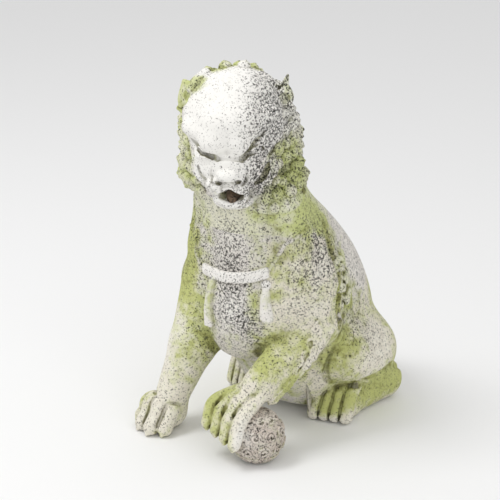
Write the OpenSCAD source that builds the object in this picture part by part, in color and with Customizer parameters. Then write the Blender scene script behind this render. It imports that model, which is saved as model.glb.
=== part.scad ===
// Seated guardian lion with a ball under the left forepaw, in cast stone sections.
// The sections meet on flat joints and are pinned with round bars.
// Units are millimetres. The lion faces -Y, its left side is +X and the ground is Z = 0.

/* [Figure] */
// Height of the joint between torso and neck
neck_z = 355; // [320:1:400]
// Depth of the body from the chest to the back of the rump
body_d = 339; // [300:1:390]
// Width of the ribs, without the shoulders
body_w = 230; // [205:1:265]
// Width of the stance of the hind feet, between their middle lines
stance_w = 196; // [180:1:225]

/* [Head] */
// Width of the head across the cheeks and mane
head_w = 188; // [160:1:215]
// Height of the head from the jaw line to the crown
head_h = 196; // [175:1:225]
// Turn of the head towards the left side
head_turn = 32; // [0:1:40]
// Forward nod of the head
head_nod = 6; // [0:1:12]
// Radius of an eyeball
eye_r = 11; // [8:0.5:13]
// Height of an ear above the head
ear_h = 30; // [20:1:36]
// Radius of the round seat of an ear
ear_seat_r = 19; // [15:0.5:21]
// Radius of one curl of the mane
curl_r = 11; // [8:0.5:13]

/* [Forelegs] */
// Distance from the middle plane to the joint of each shoulder
shoulder_x = 66; // [56:1:74]
// Radius of the upper arm
arm_r = 46; // [40:1:52]
// Radius of the wrist
wrist_r = 28; // [24:1:33]
// Width of a forepaw
paw_w = 80; // [68:1:90]
// Height of the joint between the right foreleg and its paw
ankle_z = 58; // [50:1:66]

/* [Ball] */
// Diameter of the ball
ball_d = 86; // [76:1:96]
// Radius of the flat that the ball rests on
ball_flat_r = 15; // [10:0.5:18]

/* [Hind legs] */
// Distance from the middle plane to the joint of each haunch
haunch_x = 70; // [60:1:78]
// Radius of the thigh
thigh_r = 60; // [52:1:66]
// Radius of the knee
knee_r = 46; // [40:1:52]
// Height of the front edge of the joint between leg and hind paw
instep_z = 62; // [56:1:70]

/* [Trimmings] */
// Height of the middle of the chest band
band_z = 262; // [250:1:275]
// Width of the chest band
band_w = 14; // [10:1:20]
// Standing height of the chest band
band_t = 6; // [4:0.5:9]
// Length of a tassel
tassel_l = 54; // [40:1:62]
// Standing height of a tassel
tassel_t = 12; // [8:0.5:16]
// Standing height of the fur scrolls on the flanks
scroll_t = 12; // [8:0.5:16]
// Standing height of the ridge along the spine
ridge_t = 5; // [3:0.5:8]
// Standing height of the tail
tail_t = 20; // [14:1:28]

/* [Pins] */
// Diameter of the bars in neck, waist and forelegs
bar_d = 16; // [12:1:20]
// Diameter of the short pins in shoulders, hips and ball
pin_d = 12; // [8:1:16]
// Clearance around each pin, filled with mortar
pin_gap = 0.5; // [0.3:0.1:1]

/* [Hidden] */

big = 900;              // larger than the figure, for half spaces
sides = 28;             // sides of the body and head forms
$fn = 24;

kz = neck_z / 355;      // stretch of the body's outline in height
ky = body_d / 339;      // stretch in depth
kx = body_w / 230;      // stretch in width

// outline of the body: height, front, back, half width
BODY = [
    [0, 76, 214, 72], [20, 34, 226, 92], [60, -5, 236, 106], [100, -30, 240, 112],
    [140, -62, 240, 114], [172, -88, 235, 115], [205, -98, 224, 115], [240, -99, 206, 114],
    [280, -96, 180, 110], [320, -97, 147, 101], [355, -100, 112, 92], [395, -104, 68, 85],
    [440, -106, 36, 80]
];
body_rows = [for (r = BODY) [r[0] * kz, r[1] * ky, r[2] * ky, r[3] * kx]];

head_at = [3, -68 * ky, neck_z + 145];
kh = head_h / 196;      // stretch of the head in height
kw = head_w / 188;      // stretch of the head in width
// outline of the head: height, front, back, half width
HEAD = [
    [-92, -18, 66, 60], [-74, -48, 80, 84], [-45, -74, 90, 93], [-10, -80, 92, 94],
    [20, -80, 89, 88], [50, -74, 80, 77], [75, -60, 66, 62], [94, -38, 45, 41],
    [104, -14, 22, 18]
];
head_rows = [for (r = HEAD) [r[0] * kh, r[1], r[2], r[3] * kw]];
mane_y = 6;             // joint between face and mane
crown_z = 62 * kh;      // joint between the mane and its crown
mouth_z = -60 * kh;     // lower edge of the upper jaw
mouth_gap = 10;         // opening of the mouth
jaw_y = -30;            // joint between head and lower jaw
jaw_w = 80;             // width of the lower jaw's joint
ear_y = 4;
ear_lean = 32;          // lean of the ears to the sides

shoulder_y = 45 * ky;   // back of the shoulder joint
chest_y = -62 * ky;     // front of the chest where the forelegs leave it
shoulder_top = neck_z - 10;
shoulder_low = 100 * kz;
arm_z = 150 * kz;       // where the forelegs leave the chest

ball_r = ball_d / 2;
ball_mid = [89, -124 * ky, sqrt(ball_r * ball_r - ball_flat_r * ball_flat_r)];

paw_r = paw_w / 2;
toe_r = paw_w / 6;      // radius of a toe
paw_l = 46;             // reach of the middle toes

elbow_r = arm_r - 9;
arm_at = [84 * kx, -18 * ky, 240 * kz];
elbow_right = [-80 * kx, -85 * ky, 140 * kz];
wrist_right = [-93 * kx, -124 * ky, ankle_z + 2];
elbow_left = [101 * kx, 8 * ky, 192 * kz];
wrist_left = [79, ball_mid[1] + 17, ball_d + 34];
knuckles_left = [54, ball_mid[1] - 28, ball_d - 2];  // middle of the row of knuckles on the ball
knuckle_step = [21.5, -3.6, -2];
claw_step = [21.5, -3.6, -5];
claw_drop = [0, -20, -36];
paw_right_at = [-106 * kx, wrist_right[1] + 2, 0];
ear_x = 60 * kw;
ear_z = 76 * kh;

foot_x = stance_w / 2;
hip_at = [88 * kx, 148 * ky, 102 * kz];
knee_at = [105 * kx, 86 * ky, 118 * kz];
heel_at = [foot_x, 186 * ky, 36];
toe_y = 80 * ky;
heel_r = 34;

front_y = knuckles_left[1] + claw_drop[1] + 1.5 * claw_step[1] - 0.8 * toe_r;
rear_y = 240 * ky + tail_t;
mid_y = (front_y + rear_y) / 2;
left_x = knee_at[0] + knee_r;
right_x = paw_right_at[0] - 0.67 * paw_w;
mid_x = (left_x + right_x) / 2;

waist_at = [0, 100 * ky, 194 * kz];
waist_tilt = 30;

// ---- helpers ----

// one ring of an outline row, wider by grow on every side
function ring(row, grow) =
    let (cy = (row[1] + row[2]) / 2, b = (row[2] - row[1]) / 2 + grow, a = row[3] + grow)
    [for (i = [0:sides - 1]) [a * sin(i * 360 / sides), cy - b * cos(i * 360 / sides), row[0]]];

// solid through a list of outline rows
module loft(rows, grow = 0) {
    n = len(rows);
    points = [for (r = rows) each ring(r, grow)];
    walls = [for (k = [0:n - 2], i = [0:sides - 1])
        let (j = (i + 1) % sides, p = k * sides, q = p + sides)
        each [[p + i, q + i, q + j], [p + i, q + j, p + j]]];
    floor_face = [for (i = [0:sides - 1]) i];
    top_face = [for (i = [sides - 1:-1:0]) (n - 1) * sides + i];
    polyhedron(points, concat(walls, [floor_face, top_face]));
}

module ball_at(p, r) { translate(p) sphere(r); }

module limb(p, rp, q, rq, fn = 24) {
    hull() {
        ball_at(p, rp, $fn = fn);
        ball_at(q, rq, $fn = fn);
    }
}

module block(low, high) { translate(low) cube(high - low); }

// everything on the +X side of x
module left_of(x) { block([x, -big, -big], [big, big, big]); }

// solid cylinder from p to q
module rod(p, q, d) {
    v = q - p;
    translate(p)
        rotate([0, acos(v[2] / norm(v)), atan2(v[1], v[0])])
            cylinder(d = d, h = norm(v), $fn = 48);
}

module drill(p, q, d) { rod(p, q, d + 2 * pin_gap); }

module flip(side) { if (side < 0) mirror([1, 0, 0]) children(); else children(); }

module place() { translate([-mid_x, -mid_y, 0]) children(); }

module on_head() { translate(head_at) rotate([0, 0, head_turn]) rotate([head_nod, 0, 0]) children(); }

// ---- shared forms ----

module body_form(grow = 0) { loft(body_rows, grow); }

module above_waist() {
    translate(waist_at) rotate([waist_tilt, 0, 0]) block([-big, -big, 0], [big, big, big]);
}

// space under the head's tilted joint
neck_top = [2, -46 * ky, neck_z + 66];
module above_neck() {
    translate(neck_top) rotate([0, 0, head_turn]) rotate([22, 0, 0]) block([-big, -big, 0], [big, big, big]);
}

// block of each shoulder joint, on the left side
module shoulder_space() { block([shoulder_x, -big, shoulder_low], [big, shoulder_y, shoulder_top]); }

module shoulder_form(elbow) {
    hull() {
        ball_at([74 * kx, 2, 314 * kz], 30);
        ball_at([76 * kx, -28, 296 * kz], 36);
        ball_at(arm_at, arm_r);
    }
    limb(arm_at, arm_r, elbow, elbow_r);
}

neck_bar_low = head_at + [3, -6, -235];
neck_bar_high = head_at + [3, -6, 5];
waist_step = 45 * [0, -sin(waist_tilt), cos(waist_tilt)];
waist_bar_low = waist_at - waist_step;
waist_bar_high = waist_at + waist_step;
arm_bar_right = [[-82 * kx, -50 * ky, 225 * kz], [wrist_right[0] - 4, wrist_right[1] - 8, 26]];
arm_bar_left = [[94 * kx, -20 * ky, 176 * kz], knuckles_left + [20, 14, 14]];
shoulder_pin = [[shoulder_x - 30, -10 * ky, 285 * kz], [shoulder_x + 24, -10 * ky, 285 * kz]];
hip_pin = [[haunch_x - 35, 130 * ky, 100 * kz], [haunch_x + 35, 130 * ky, 100 * kz]];

module torso() {
    color("gainsboro") place() difference() {
        intersection() {
            body_form();
            above_waist();
            block([-big, -big, 0], [big, big, neck_z]);
        }
        for (s = [-1, 1]) flip(s) {
            shoulder_space();
            drill(shoulder_pin[0], shoulder_pin[1], pin_d);
        }
        drill(neck_bar_low, neck_bar_high, bar_d);
        drill(waist_bar_low, waist_bar_high, bar_d);
    }
}

module hindquarters() {
    color("lightgray") place() difference() {
        body_form();
        above_waist();
        for (s = [-1, 1]) flip(s) {
            left_of(haunch_x);
            drill(hip_pin[0], hip_pin[1], pin_d);
        }
        drill(waist_bar_low, waist_bar_high, bar_d);
    }
}

module neck() {
    color("beige") place() difference() {
        intersection() {
            body_form();
            block([-big, -big, neck_z], [big, big, big]);
        }
        above_neck();
        drill(neck_bar_low, neck_bar_high, bar_d);
    }
}

// ---- forelegs ----

module past_wrist() {
    v = wrist_left - elbow_left;
    translate(wrist_left)
        rotate([0, acos(v[2] / norm(v)), atan2(v[1], v[0])])
            block([-big, -big, 0], [big, big, big]);
}

// space that the body keeps from a foreleg
module body_room() {
    block([-big, chest_y, -big], [shoulder_x, big, big]);
    block([-big, -big, arm_z + 10], [shoulder_x, big, big]);
    block([-big, shoulder_y, -big], [big, big, big]);
    block([-big, -big, shoulder_top], [big, big, big]);
}

// shoulder, upper arm and forearm of the left side
module foreleg_form(elbow, wrist) {
    difference() {
        union() {
            intersection() {
                body_form();
                shoulder_space();
                above_waist();
            }
            shoulder_form(elbow);
            limb(elbow, elbow_r, wrist, wrist_r);
        }
        body_room();
        drill(shoulder_pin[0], shoulder_pin[1], pin_d);
    }
}

// four toes in a row, pointing along -Y and downwards by drop
module toes(width, length, r, drop) {
    step = (width - 2 * r) / 3;
    for (i = [-1.5:1:1.5])
        rotate([drop, 0, 6 * i])
            limb([i * step, -length / 2, r / 4], r, [i * step, 3 * abs(i) - length, 0], r * 0.9, 16);
}

module foreleg_left() {
    color("palegoldenrod") place() difference() {
        foreleg_form(elbow_left, wrist_left);
        past_wrist();
        drill(arm_bar_left[0], arm_bar_left[1], bar_d);
    }
}

module foreleg_right() {
    color("palegoldenrod") place() difference() {
        flip(-1) foreleg_form([-elbow_right[0], elbow_right[1], elbow_right[2]],
                              [-wrist_right[0], wrist_right[1], wrist_right[2]]);
        block([-big, -big, -big], [big, big, ankle_z]);
        drill(arm_bar_right[0], arm_bar_right[1], bar_d);
    }
}

module forepaw_left() {
    color("khaki") place() difference() {
        intersection() {
            union() {
                limb(elbow_left, elbow_r, wrist_left, wrist_r);
                hull() {
                    ball_at(wrist_left, wrist_r);
                    ball_at(knuckles_left + [4, 16, -2], paw_r * 0.8);
                }
                for (i = [-1.5:1:1.5])
                    limb(knuckles_left + i * knuckle_step, toe_r,
                         knuckles_left + claw_drop + i * claw_step, 0.8 * toe_r, 16);
            }
            past_wrist();
        }
        ball_at(ball_mid, ball_r);
        drill(arm_bar_left[0], arm_bar_left[1], bar_d);
        drill(ball_pin[0], ball_pin[1], pin_d);
    }
}

module forepaw_right() {
    color("wheat") place() difference() {
        intersection() {
            union() {
                limb(elbow_right, elbow_r, wrist_right, wrist_r);
                hull() {
                    ball_at(wrist_right, wrist_r);
                    ball_at(paw_right_at + [0, -10, toe_r + 6], paw_r * 0.9);
                }
                translate(paw_right_at + [0, 0, toe_r - 1]) rotate([0, 0, -18]) toes(paw_w, paw_l, toe_r, 0);
            }
            block([-big, -big, 0], [big, big, ankle_z]);
        }
        drill(arm_bar_right[0], arm_bar_right[1], bar_d);
    }
}

// from inside the ball towards the palm
palm_way = [-0.5, -0.1, 0.86];
ball_pin = [ball_mid + 18 * palm_way, ball_mid + 62 * palm_way];

module ball() {
    color("rosybrown") place() difference() {
        ball_at(ball_mid, ball_r);
        block([-big, -big, -big], [big, big, 0]);
        drill(ball_pin[0], ball_pin[1], pin_d);
    }
}

// ---- hind legs ----

module over_instep() {
    translate([0, 60 * ky, instep_z]) rotate([-20.5, 0, 0]) block([-big, -big, 0], [big, big, big]);
}

module foot_form() {
    hull() {
        ball_at([foot_x, 170 * ky, 26], 28);
        ball_at([foot_x, toe_y + 30, 20], 34);
        ball_at([foot_x, toe_y + 6, 18], 32);
    }
    translate([foot_x, toe_y + 26, toe_r - 2]) toes(paw_w - 12, paw_l - 4, toe_r, 0);
}

module shank() { limb(knee_at, knee_r - 4, heel_at, heel_r); }

module hind_leg(side) {
    color("lightgray") place() flip(side) difference() {
        intersection() {
            union() {
                difference() {
                    body_form();
                    above_waist();
                }
                limb(hip_at, thigh_r, knee_at, knee_r);
                shank();
            }
            over_instep();
        }
        block([-big, -big, -big], [haunch_x, big, big]);
        block([-big, -big, -big], [big, big, 0]);
        drill(hip_pin[0], hip_pin[1], pin_d);
    }
}

module hind_paw(side) {
    color("wheat") place() flip(side) difference() {
        union() {
            foot_form();
            shank();
        }
        over_instep();
        block([-big, -big, -big], [haunch_x, big, big]);
        block([-big, -big, -big], [big, big, 0]);
    }
}

module hind_leg_left() { hind_leg(1); }

module hind_leg_right() { hind_leg(-1); }

module hind_paw_left() { hind_paw(1); }

module hind_paw_right() { hind_paw(-1); }

// ---- head ----

module head_form() { loft(head_rows); }

module ears_room(r) {
    for (s = [-1, 1])
        translate([s * ear_x, ear_y, ear_z]) rotate([-8, s * ear_lean, 0]) cylinder(r = r, h = 80, $fn = 40);
}

module jaw_room() { block([-jaw_w / 2, -big, -big], [jaw_w / 2, jaw_y, mouth_z]); }

module eyes() { for (s = [-1, 1]) ball_at([s * 31 * kw, -74, 8 * kh], eye_r, $fn = 32); }

module head() {
    color("white") place() on_head() difference() {
        union() {
            head_form();
            hull() for (s = [-1, 1]) {
                ball_at([s * 24 * kw, -72, -42 * kh], 20);
                ball_at([s * 8 * kw, -86, -28 * kh], 16);
            }
            limb([0, -62, 12 * kh], 18, [0, -84, -16 * kh], 20);
            for (s = [-1, 1]) {
                limb([s * 58 * kw, -44, 38 * kh], 14, [s * 14 * kw, -74, 20 * kh], 15);
                ball_at([s * 42 * kw, -52, -24 * kh], 28);
            }
        }
        block([-big, mane_y, -big], [big, big, big]);
        jaw_room();
        ears_room(ear_seat_r);
        eyes();
        under_head();
        off_head() drill(neck_bar_low, neck_bar_high, bar_d);
    }
}

module off_head() { rotate([-head_nod, 0, 0]) rotate([0, 0, -head_turn]) translate(-head_at) children(); }

module under_head() {
    off_head() translate(neck_top) rotate([0, 0, head_turn]) rotate([22, 0, 0])
        block([-big, -big, -big], [big, big, 0]);
}

module lower_jaw() {
    color("whitesmoke") place() on_head() difference() {
        intersection() {
            union() {
                head_form();
                hull() for (s = [-1, 1]) {
                    ball_at([s * 16 * kw, -62, -82 * kh], 15);
                    ball_at([s * 26 * kw, -44, -74 * kh], 20);
                }
            }
            jaw_room();
        }
        block([-big, -big, mouth_z - mouth_gap], [big, big, big]);
        under_head();
    }
}

module tongue() {
    color("saddlebrown") place() on_head() intersection() {
        hull() {
            ball_at([0, -44, mouth_z - mouth_gap], 12);
            ball_at([0, -66, mouth_z - mouth_gap - 4], 12);
        }
        block([-big, -big, mouth_z - mouth_gap], [big, jaw_y, mouth_z - 2]);
    }
}

module eye(side) {
    color("silver") place() on_head() ball_at([side * 31 * kw, -74, 8 * kh], eye_r, $fn = 32);
}

module ear(side) {
    color("darkkhaki") place() on_head()
        translate([side * ear_x, ear_y, ear_z]) rotate([-8, side * ear_lean, 0]) difference() {
            hull() {
                cylinder(r = ear_seat_r, h = 3, $fn = 40);
                translate([side * 4, 0, ear_h]) sphere(5, $fn = 20);
            }
            translate([0, -ear_seat_r * 0.75, ear_h * 0.5]) sphere(ear_seat_r * 0.5, $fn = 32);
        }
}

// one snail curl standing on the mane, pointing outwards by turn and up by lift
module curl(at, turn, lift) {
    translate(at) rotate([0, 0, turn]) rotate([-lift, 0, 0]) hull() {
        sphere(curl_r, $fn = 8);
        translate([0, -curl_r * 0.6, 0]) sphere(curl_r * 0.5, $fn = 6);
    }
}

// point of the head's outline at height z and angle t from the face
function head_point(z, t) =
    let (f = lookup(z, [for (r = head_rows) [r[0], r[1]]]), b = lookup(z, [for (r = head_rows) [r[0], r[2]]]),
         w = lookup(z, [for (r = head_rows) [r[0], r[3]]]))
    [w * sin(t), (f + b) / 2 - (b - f) / 2 * cos(t), z];

module curl_rows(rows, first, last, step) {
    for (z = rows, t = [first:step:last]) curl(head_point(z * kh, t), t, 0);
}

module mane(side) {
    color("darkseagreen") place() on_head() flip(side) difference() {
        union() {
            head_form();
            curl_rows([-64, -40, -16, 8, 32], 97, 175, 19);
        }
        block([-big, -big, -big], [0, big, big]);
        block([-big, -big, -big], [big, mane_y, big]);
        block([-big, -big, crown_z], [big, big, big]);
        ears_room(ear_seat_r);
        flip(side) under_head();
    }
}

module mane_crown() {
    color("darkseagreen") place() on_head() difference() {
        union() {
            head_form();
            curl_rows([74], 110, 250, 28);
            for (x = [-24, 0, 24]) curl([x, 14, 97 * kh - abs(x) / 4], 0, 60);
            for (x = [-13, 13]) curl([x, 34, 93 * kh], 0, 90);
        }
        block([-big, -big, -big], [big, mane_y, big]);
        block([-big, -big, -big], [big, big, crown_z]);
        ears_room(ear_seat_r);
    }
}

module eye_left() { eye(1); }

module eye_right() { eye(-1); }

module ear_left() { ear(1); }

module ear_right() { ear(-1); }

module mane_left() { mane(1); }

module mane_right() { mane(-1); }

// ---- trimmings lying on the body ----

// front, back and side of the body's outline at height z
function fore(z) = lookup(z, [for (r = body_rows) [r[0], r[1]]]);
function hind(z) = lookup(z, [for (r = body_rows) [r[0], r[2]]]);
function half(z) = lookup(z, [for (r = body_rows) [r[0], r[3]]]);
function chest_at(x, z) = (fore(z) + hind(z)) / 2 - (hind(z) - fore(z)) / 2 * sqrt(1 - pow(x / half(z), 2));
function flank_at(y, z) = half(z) * sqrt(1 - pow((2 * y - fore(z) - hind(z)) / (hind(z) - fore(z)), 2));

band_x = shoulder_x - 2;
band_low = band_z - band_w / 2;
band_high = band_z + band_w / 2;
bell_r = 8;
bell_x = 48;
bell_z = band_low - bell_r;
bell_y = chest_at(bell_x, bell_z) - 2;

module chest_band() {
    color("white") place() difference() {
        intersection() {
            body_form(band_t);
            block([-band_x, -big, band_low], [band_x, -20, band_high]);
        }
        body_form();
    }
}

module strap(side) {
    color("whitesmoke") place() difference() {
        intersection() {
            body_form(band_t - 2);
            flip(side) translate([bell_x, 0, band_z]) rotate([0, 10, 0])
                block([-5, -big, 0], [5, -20, neck_z - band_z - 8]);
            block([-big, -big, band_high], [big, big, big]);
        }
        body_form();
    }
}

module bell(side) {
    color("whitesmoke") place() difference() {
        flip(side) limb([bell_x, bell_y, bell_z], bell_r, [bell_x, bell_y + 3, bell_z], bell_r, 18);
        body_form();
    }
}

module tassel(side) {
    top_z = band_low - 2 * bell_r - 4;
    low_z = top_z - tassel_l + 14;
    color("khaki") place() difference() {
        flip(side)
            limb([bell_x, chest_at(bell_x, top_z) + 1, top_z], 4,
                 [bell_x, chest_at(bell_x, low_z) + 2, low_z], tassel_t, 20);
        body_form();
    }
}

module flank_scroll(side) {
    color("olivedrab") place() difference() {
        flip(side) for (k = [0:2]) {
            z = (300 - 42 * k) * kz;
            y = (62 + 8 * k) * ky;
            limb([flank_at(y, z) - 1, y, z], scroll_t, [flank_at(y + 18, z - 20) - 1, y + 18, z - 20], scroll_t - 3, 18);
        }
        body_form();
        block([-big, -big, -big], [big, shoulder_y + 1, big]);
    }
}

module spine_ridge() {
    color("lightgray") place() difference() {
        intersection() {
            body_form(ridge_t);
            above_waist();
            block([-7, 40, 0], [7, big, neck_z - 6]);
        }
        body_form();
    }
}

module tail() {
    r = tail_t;
    color("gainsboro") place() difference() {
        union() {
            limb([0, rear_y - r, 96 * kz], r, [0, 230 * ky, 36], r * 0.8, 20);
            limb([0, rear_y - r, 96 * kz], r, [0, 228 * ky, 172 * kz], r * 0.7, 20);
        }
        body_form();
        above_waist();
    }
}

module strap_left() { strap(1); }

module strap_right() { strap(-1); }

module bell_left() { bell(1); }

module bell_right() { bell(-1); }

module tassel_left() { tassel(1); }

module tassel_right() { tassel(-1); }

module flank_scroll_left() { flank_scroll(1); }

module flank_scroll_right() { flank_scroll(-1); }

// ---- bars and pins inside the stone ----

module bar(ends, d) { color("steelblue") place() rod(ends[0], ends[1], d); }

module pin_pair(ends) {
    color("steelblue") place() for (s = [-1, 1]) flip(s) rod(ends[0], ends[1], pin_d);
}

module neck_bar() { bar([neck_bar_low, neck_bar_high], bar_d); }

module waist_bar() { bar([waist_bar_low, waist_bar_high], bar_d); }

module foreleg_bar_left() { bar(arm_bar_left, bar_d); }

module foreleg_bar_right() { bar(arm_bar_right, bar_d); }

module shoulder_pins() { pin_pair(shoulder_pin); }

module hip_pins() { pin_pair(hip_pin); }

module ball_pin() { bar(ball_pin, pin_d); }

torso();
hindquarters();
neck();
head();
lower_jaw();
tongue();
eye_left();
eye_right();
ear_left();
ear_right();
mane_left();
mane_right();
mane_crown();
foreleg_left();
foreleg_right();
forepaw_left();
forepaw_right();
ball();
hind_leg_left();
hind_leg_right();
hind_paw_left();
hind_paw_right();
chest_band();
strap_left();
strap_right();
bell_left();
bell_right();
tassel_left();
tassel_right();
flank_scroll_left();
flank_scroll_right();
spine_ridge();
tail();
neck_bar();
waist_bar();
foreleg_bar_left();
foreleg_bar_right();
shoulder_pins();
hip_pins();
ball_pin();
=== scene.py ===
from math import cos, radians, sin

import bpy
import numpy as np
from mathutils import Matrix, Vector


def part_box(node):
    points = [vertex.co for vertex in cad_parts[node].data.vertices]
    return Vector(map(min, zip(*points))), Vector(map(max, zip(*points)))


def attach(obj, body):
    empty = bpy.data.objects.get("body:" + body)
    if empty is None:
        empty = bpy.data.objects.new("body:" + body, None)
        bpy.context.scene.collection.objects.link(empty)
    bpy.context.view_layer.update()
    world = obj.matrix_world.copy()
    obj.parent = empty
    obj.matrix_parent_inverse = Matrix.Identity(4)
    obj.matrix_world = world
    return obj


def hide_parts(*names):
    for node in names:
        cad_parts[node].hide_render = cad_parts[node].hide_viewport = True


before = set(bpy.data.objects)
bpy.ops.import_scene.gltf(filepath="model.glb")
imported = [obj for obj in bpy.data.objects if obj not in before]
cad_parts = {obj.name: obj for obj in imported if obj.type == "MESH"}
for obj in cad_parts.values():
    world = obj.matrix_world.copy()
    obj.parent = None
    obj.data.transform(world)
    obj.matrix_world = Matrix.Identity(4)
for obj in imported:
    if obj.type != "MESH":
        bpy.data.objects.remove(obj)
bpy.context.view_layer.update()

rng = np.random.default_rng(7)

# ---- the sculptor's measures: millimetres, lion facing -Y, ground at Z = 0 ----

MM = 0.001
# the lion is modelled at these sizes, in metres, and stretched to the sections of the frame
SCULPT_WIDTH, SCULPT_DEPTH, SCULPT_HEIGHT = 0.230, 0.364, 0.355
BALL_RADIUS = 42.0
BALL_SINK = 0.043  # from the ball's top down to its middle

torso_low, torso_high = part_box("torso")
ball_low, ball_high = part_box("ball")
rump_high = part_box("hindquarters")[1]
MIDDLE_X = (torso_low.x + torso_high.x) / 2
BALL_Y = (ball_low.y + ball_high.y) / 2
STRETCH = np.array(
    [
        (torso_high.x - torso_low.x) / SCULPT_WIDTH,
        (rump_high.y - BALL_Y) / SCULPT_DEPTH,
        torso_high.z / SCULPT_HEIGHT,
    ]
)
ORIGIN = np.array([MIDDLE_X, BALL_Y + 0.124 * STRETCH[1], 0.0])
BALL_MID = np.array([89.0, -124.0, (ball_high.z - BALL_SINK) / MM])


def in_frame(points):
    """Sculptor's millimetres to metres in the frame."""
    return ORIGIN + np.asarray(points, float) * MM * STRETCH


def turn_x(a):
    a = radians(a)
    return np.array([[1, 0, 0], [0, cos(a), -sin(a)], [0, sin(a), cos(a)]])


def turn_y(a):
    a = radians(a)
    return np.array([[cos(a), 0, sin(a)], [0, 1, 0], [-sin(a), 0, cos(a)]])


def turn_z(a):
    a = radians(a)
    return np.array([[cos(a), -sin(a), 0], [sin(a), cos(a), 0], [0, 0, 1]])


HEAD_MID = np.array([3.0, -68.0, 500.0])
HEAD_TURN = turn_z(32) @ turn_x(6)


def H(*p):
    """A point given in the head's own directions (left, back, up from its middle)."""
    return HEAD_MID + HEAD_TURN @ np.array(p, float)


def heads(points):
    return [H(*p) for p in points]


# ---- clay: a distance field on a grid, built up and carved like modelling clay ----


def smooth_min(a, b, k):
    if k <= 0:
        return np.minimum(a, b)
    h = np.maximum(k - np.abs(a - b), 0) / k
    return np.minimum(a, b) - h * h * (k * 0.25)


def unit(v):
    """Each row made one long."""
    return v / np.maximum(np.linalg.norm(v, axis=1), 1e-6)[:, None]


CORNERS = [(a, b, c) for a in (0, 1) for b in (0, 1) for c in (0, 1)]


def curve_through(points, step=2.5):
    """Points along a smooth curve through the given ones (any number of columns)."""
    p = np.asarray(points, float)
    if len(p) < 3:
        n = max(2, int(np.linalg.norm(p[-1, :3] - p[0, :3]) / step) + 1)
        return p[0] + (p[-1] - p[0]) * np.linspace(0, 1, n)[:, None]
    q = np.vstack([2 * p[0] - p[1], p, 2 * p[-1] - p[-2]])
    out = []
    for i in range(1, len(q) - 2):
        n = max(2, int(np.linalg.norm(q[i + 1, :3] - q[i, :3]) / step) + 1)
        t = np.linspace(0, 1, n, endpoint=False)[:, None]
        a, b, c, d = q[i - 1], q[i], q[i + 1], q[i + 2]
        bend, twist = 2 * a - 5 * b + 4 * c - d, 3 * b - a - 3 * c + d
        out.append(0.5 * (2 * b + (c - a) * t + bend * t**2 + twist * t**3))
    out.append(p[-1:])
    return np.vstack(out)


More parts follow.
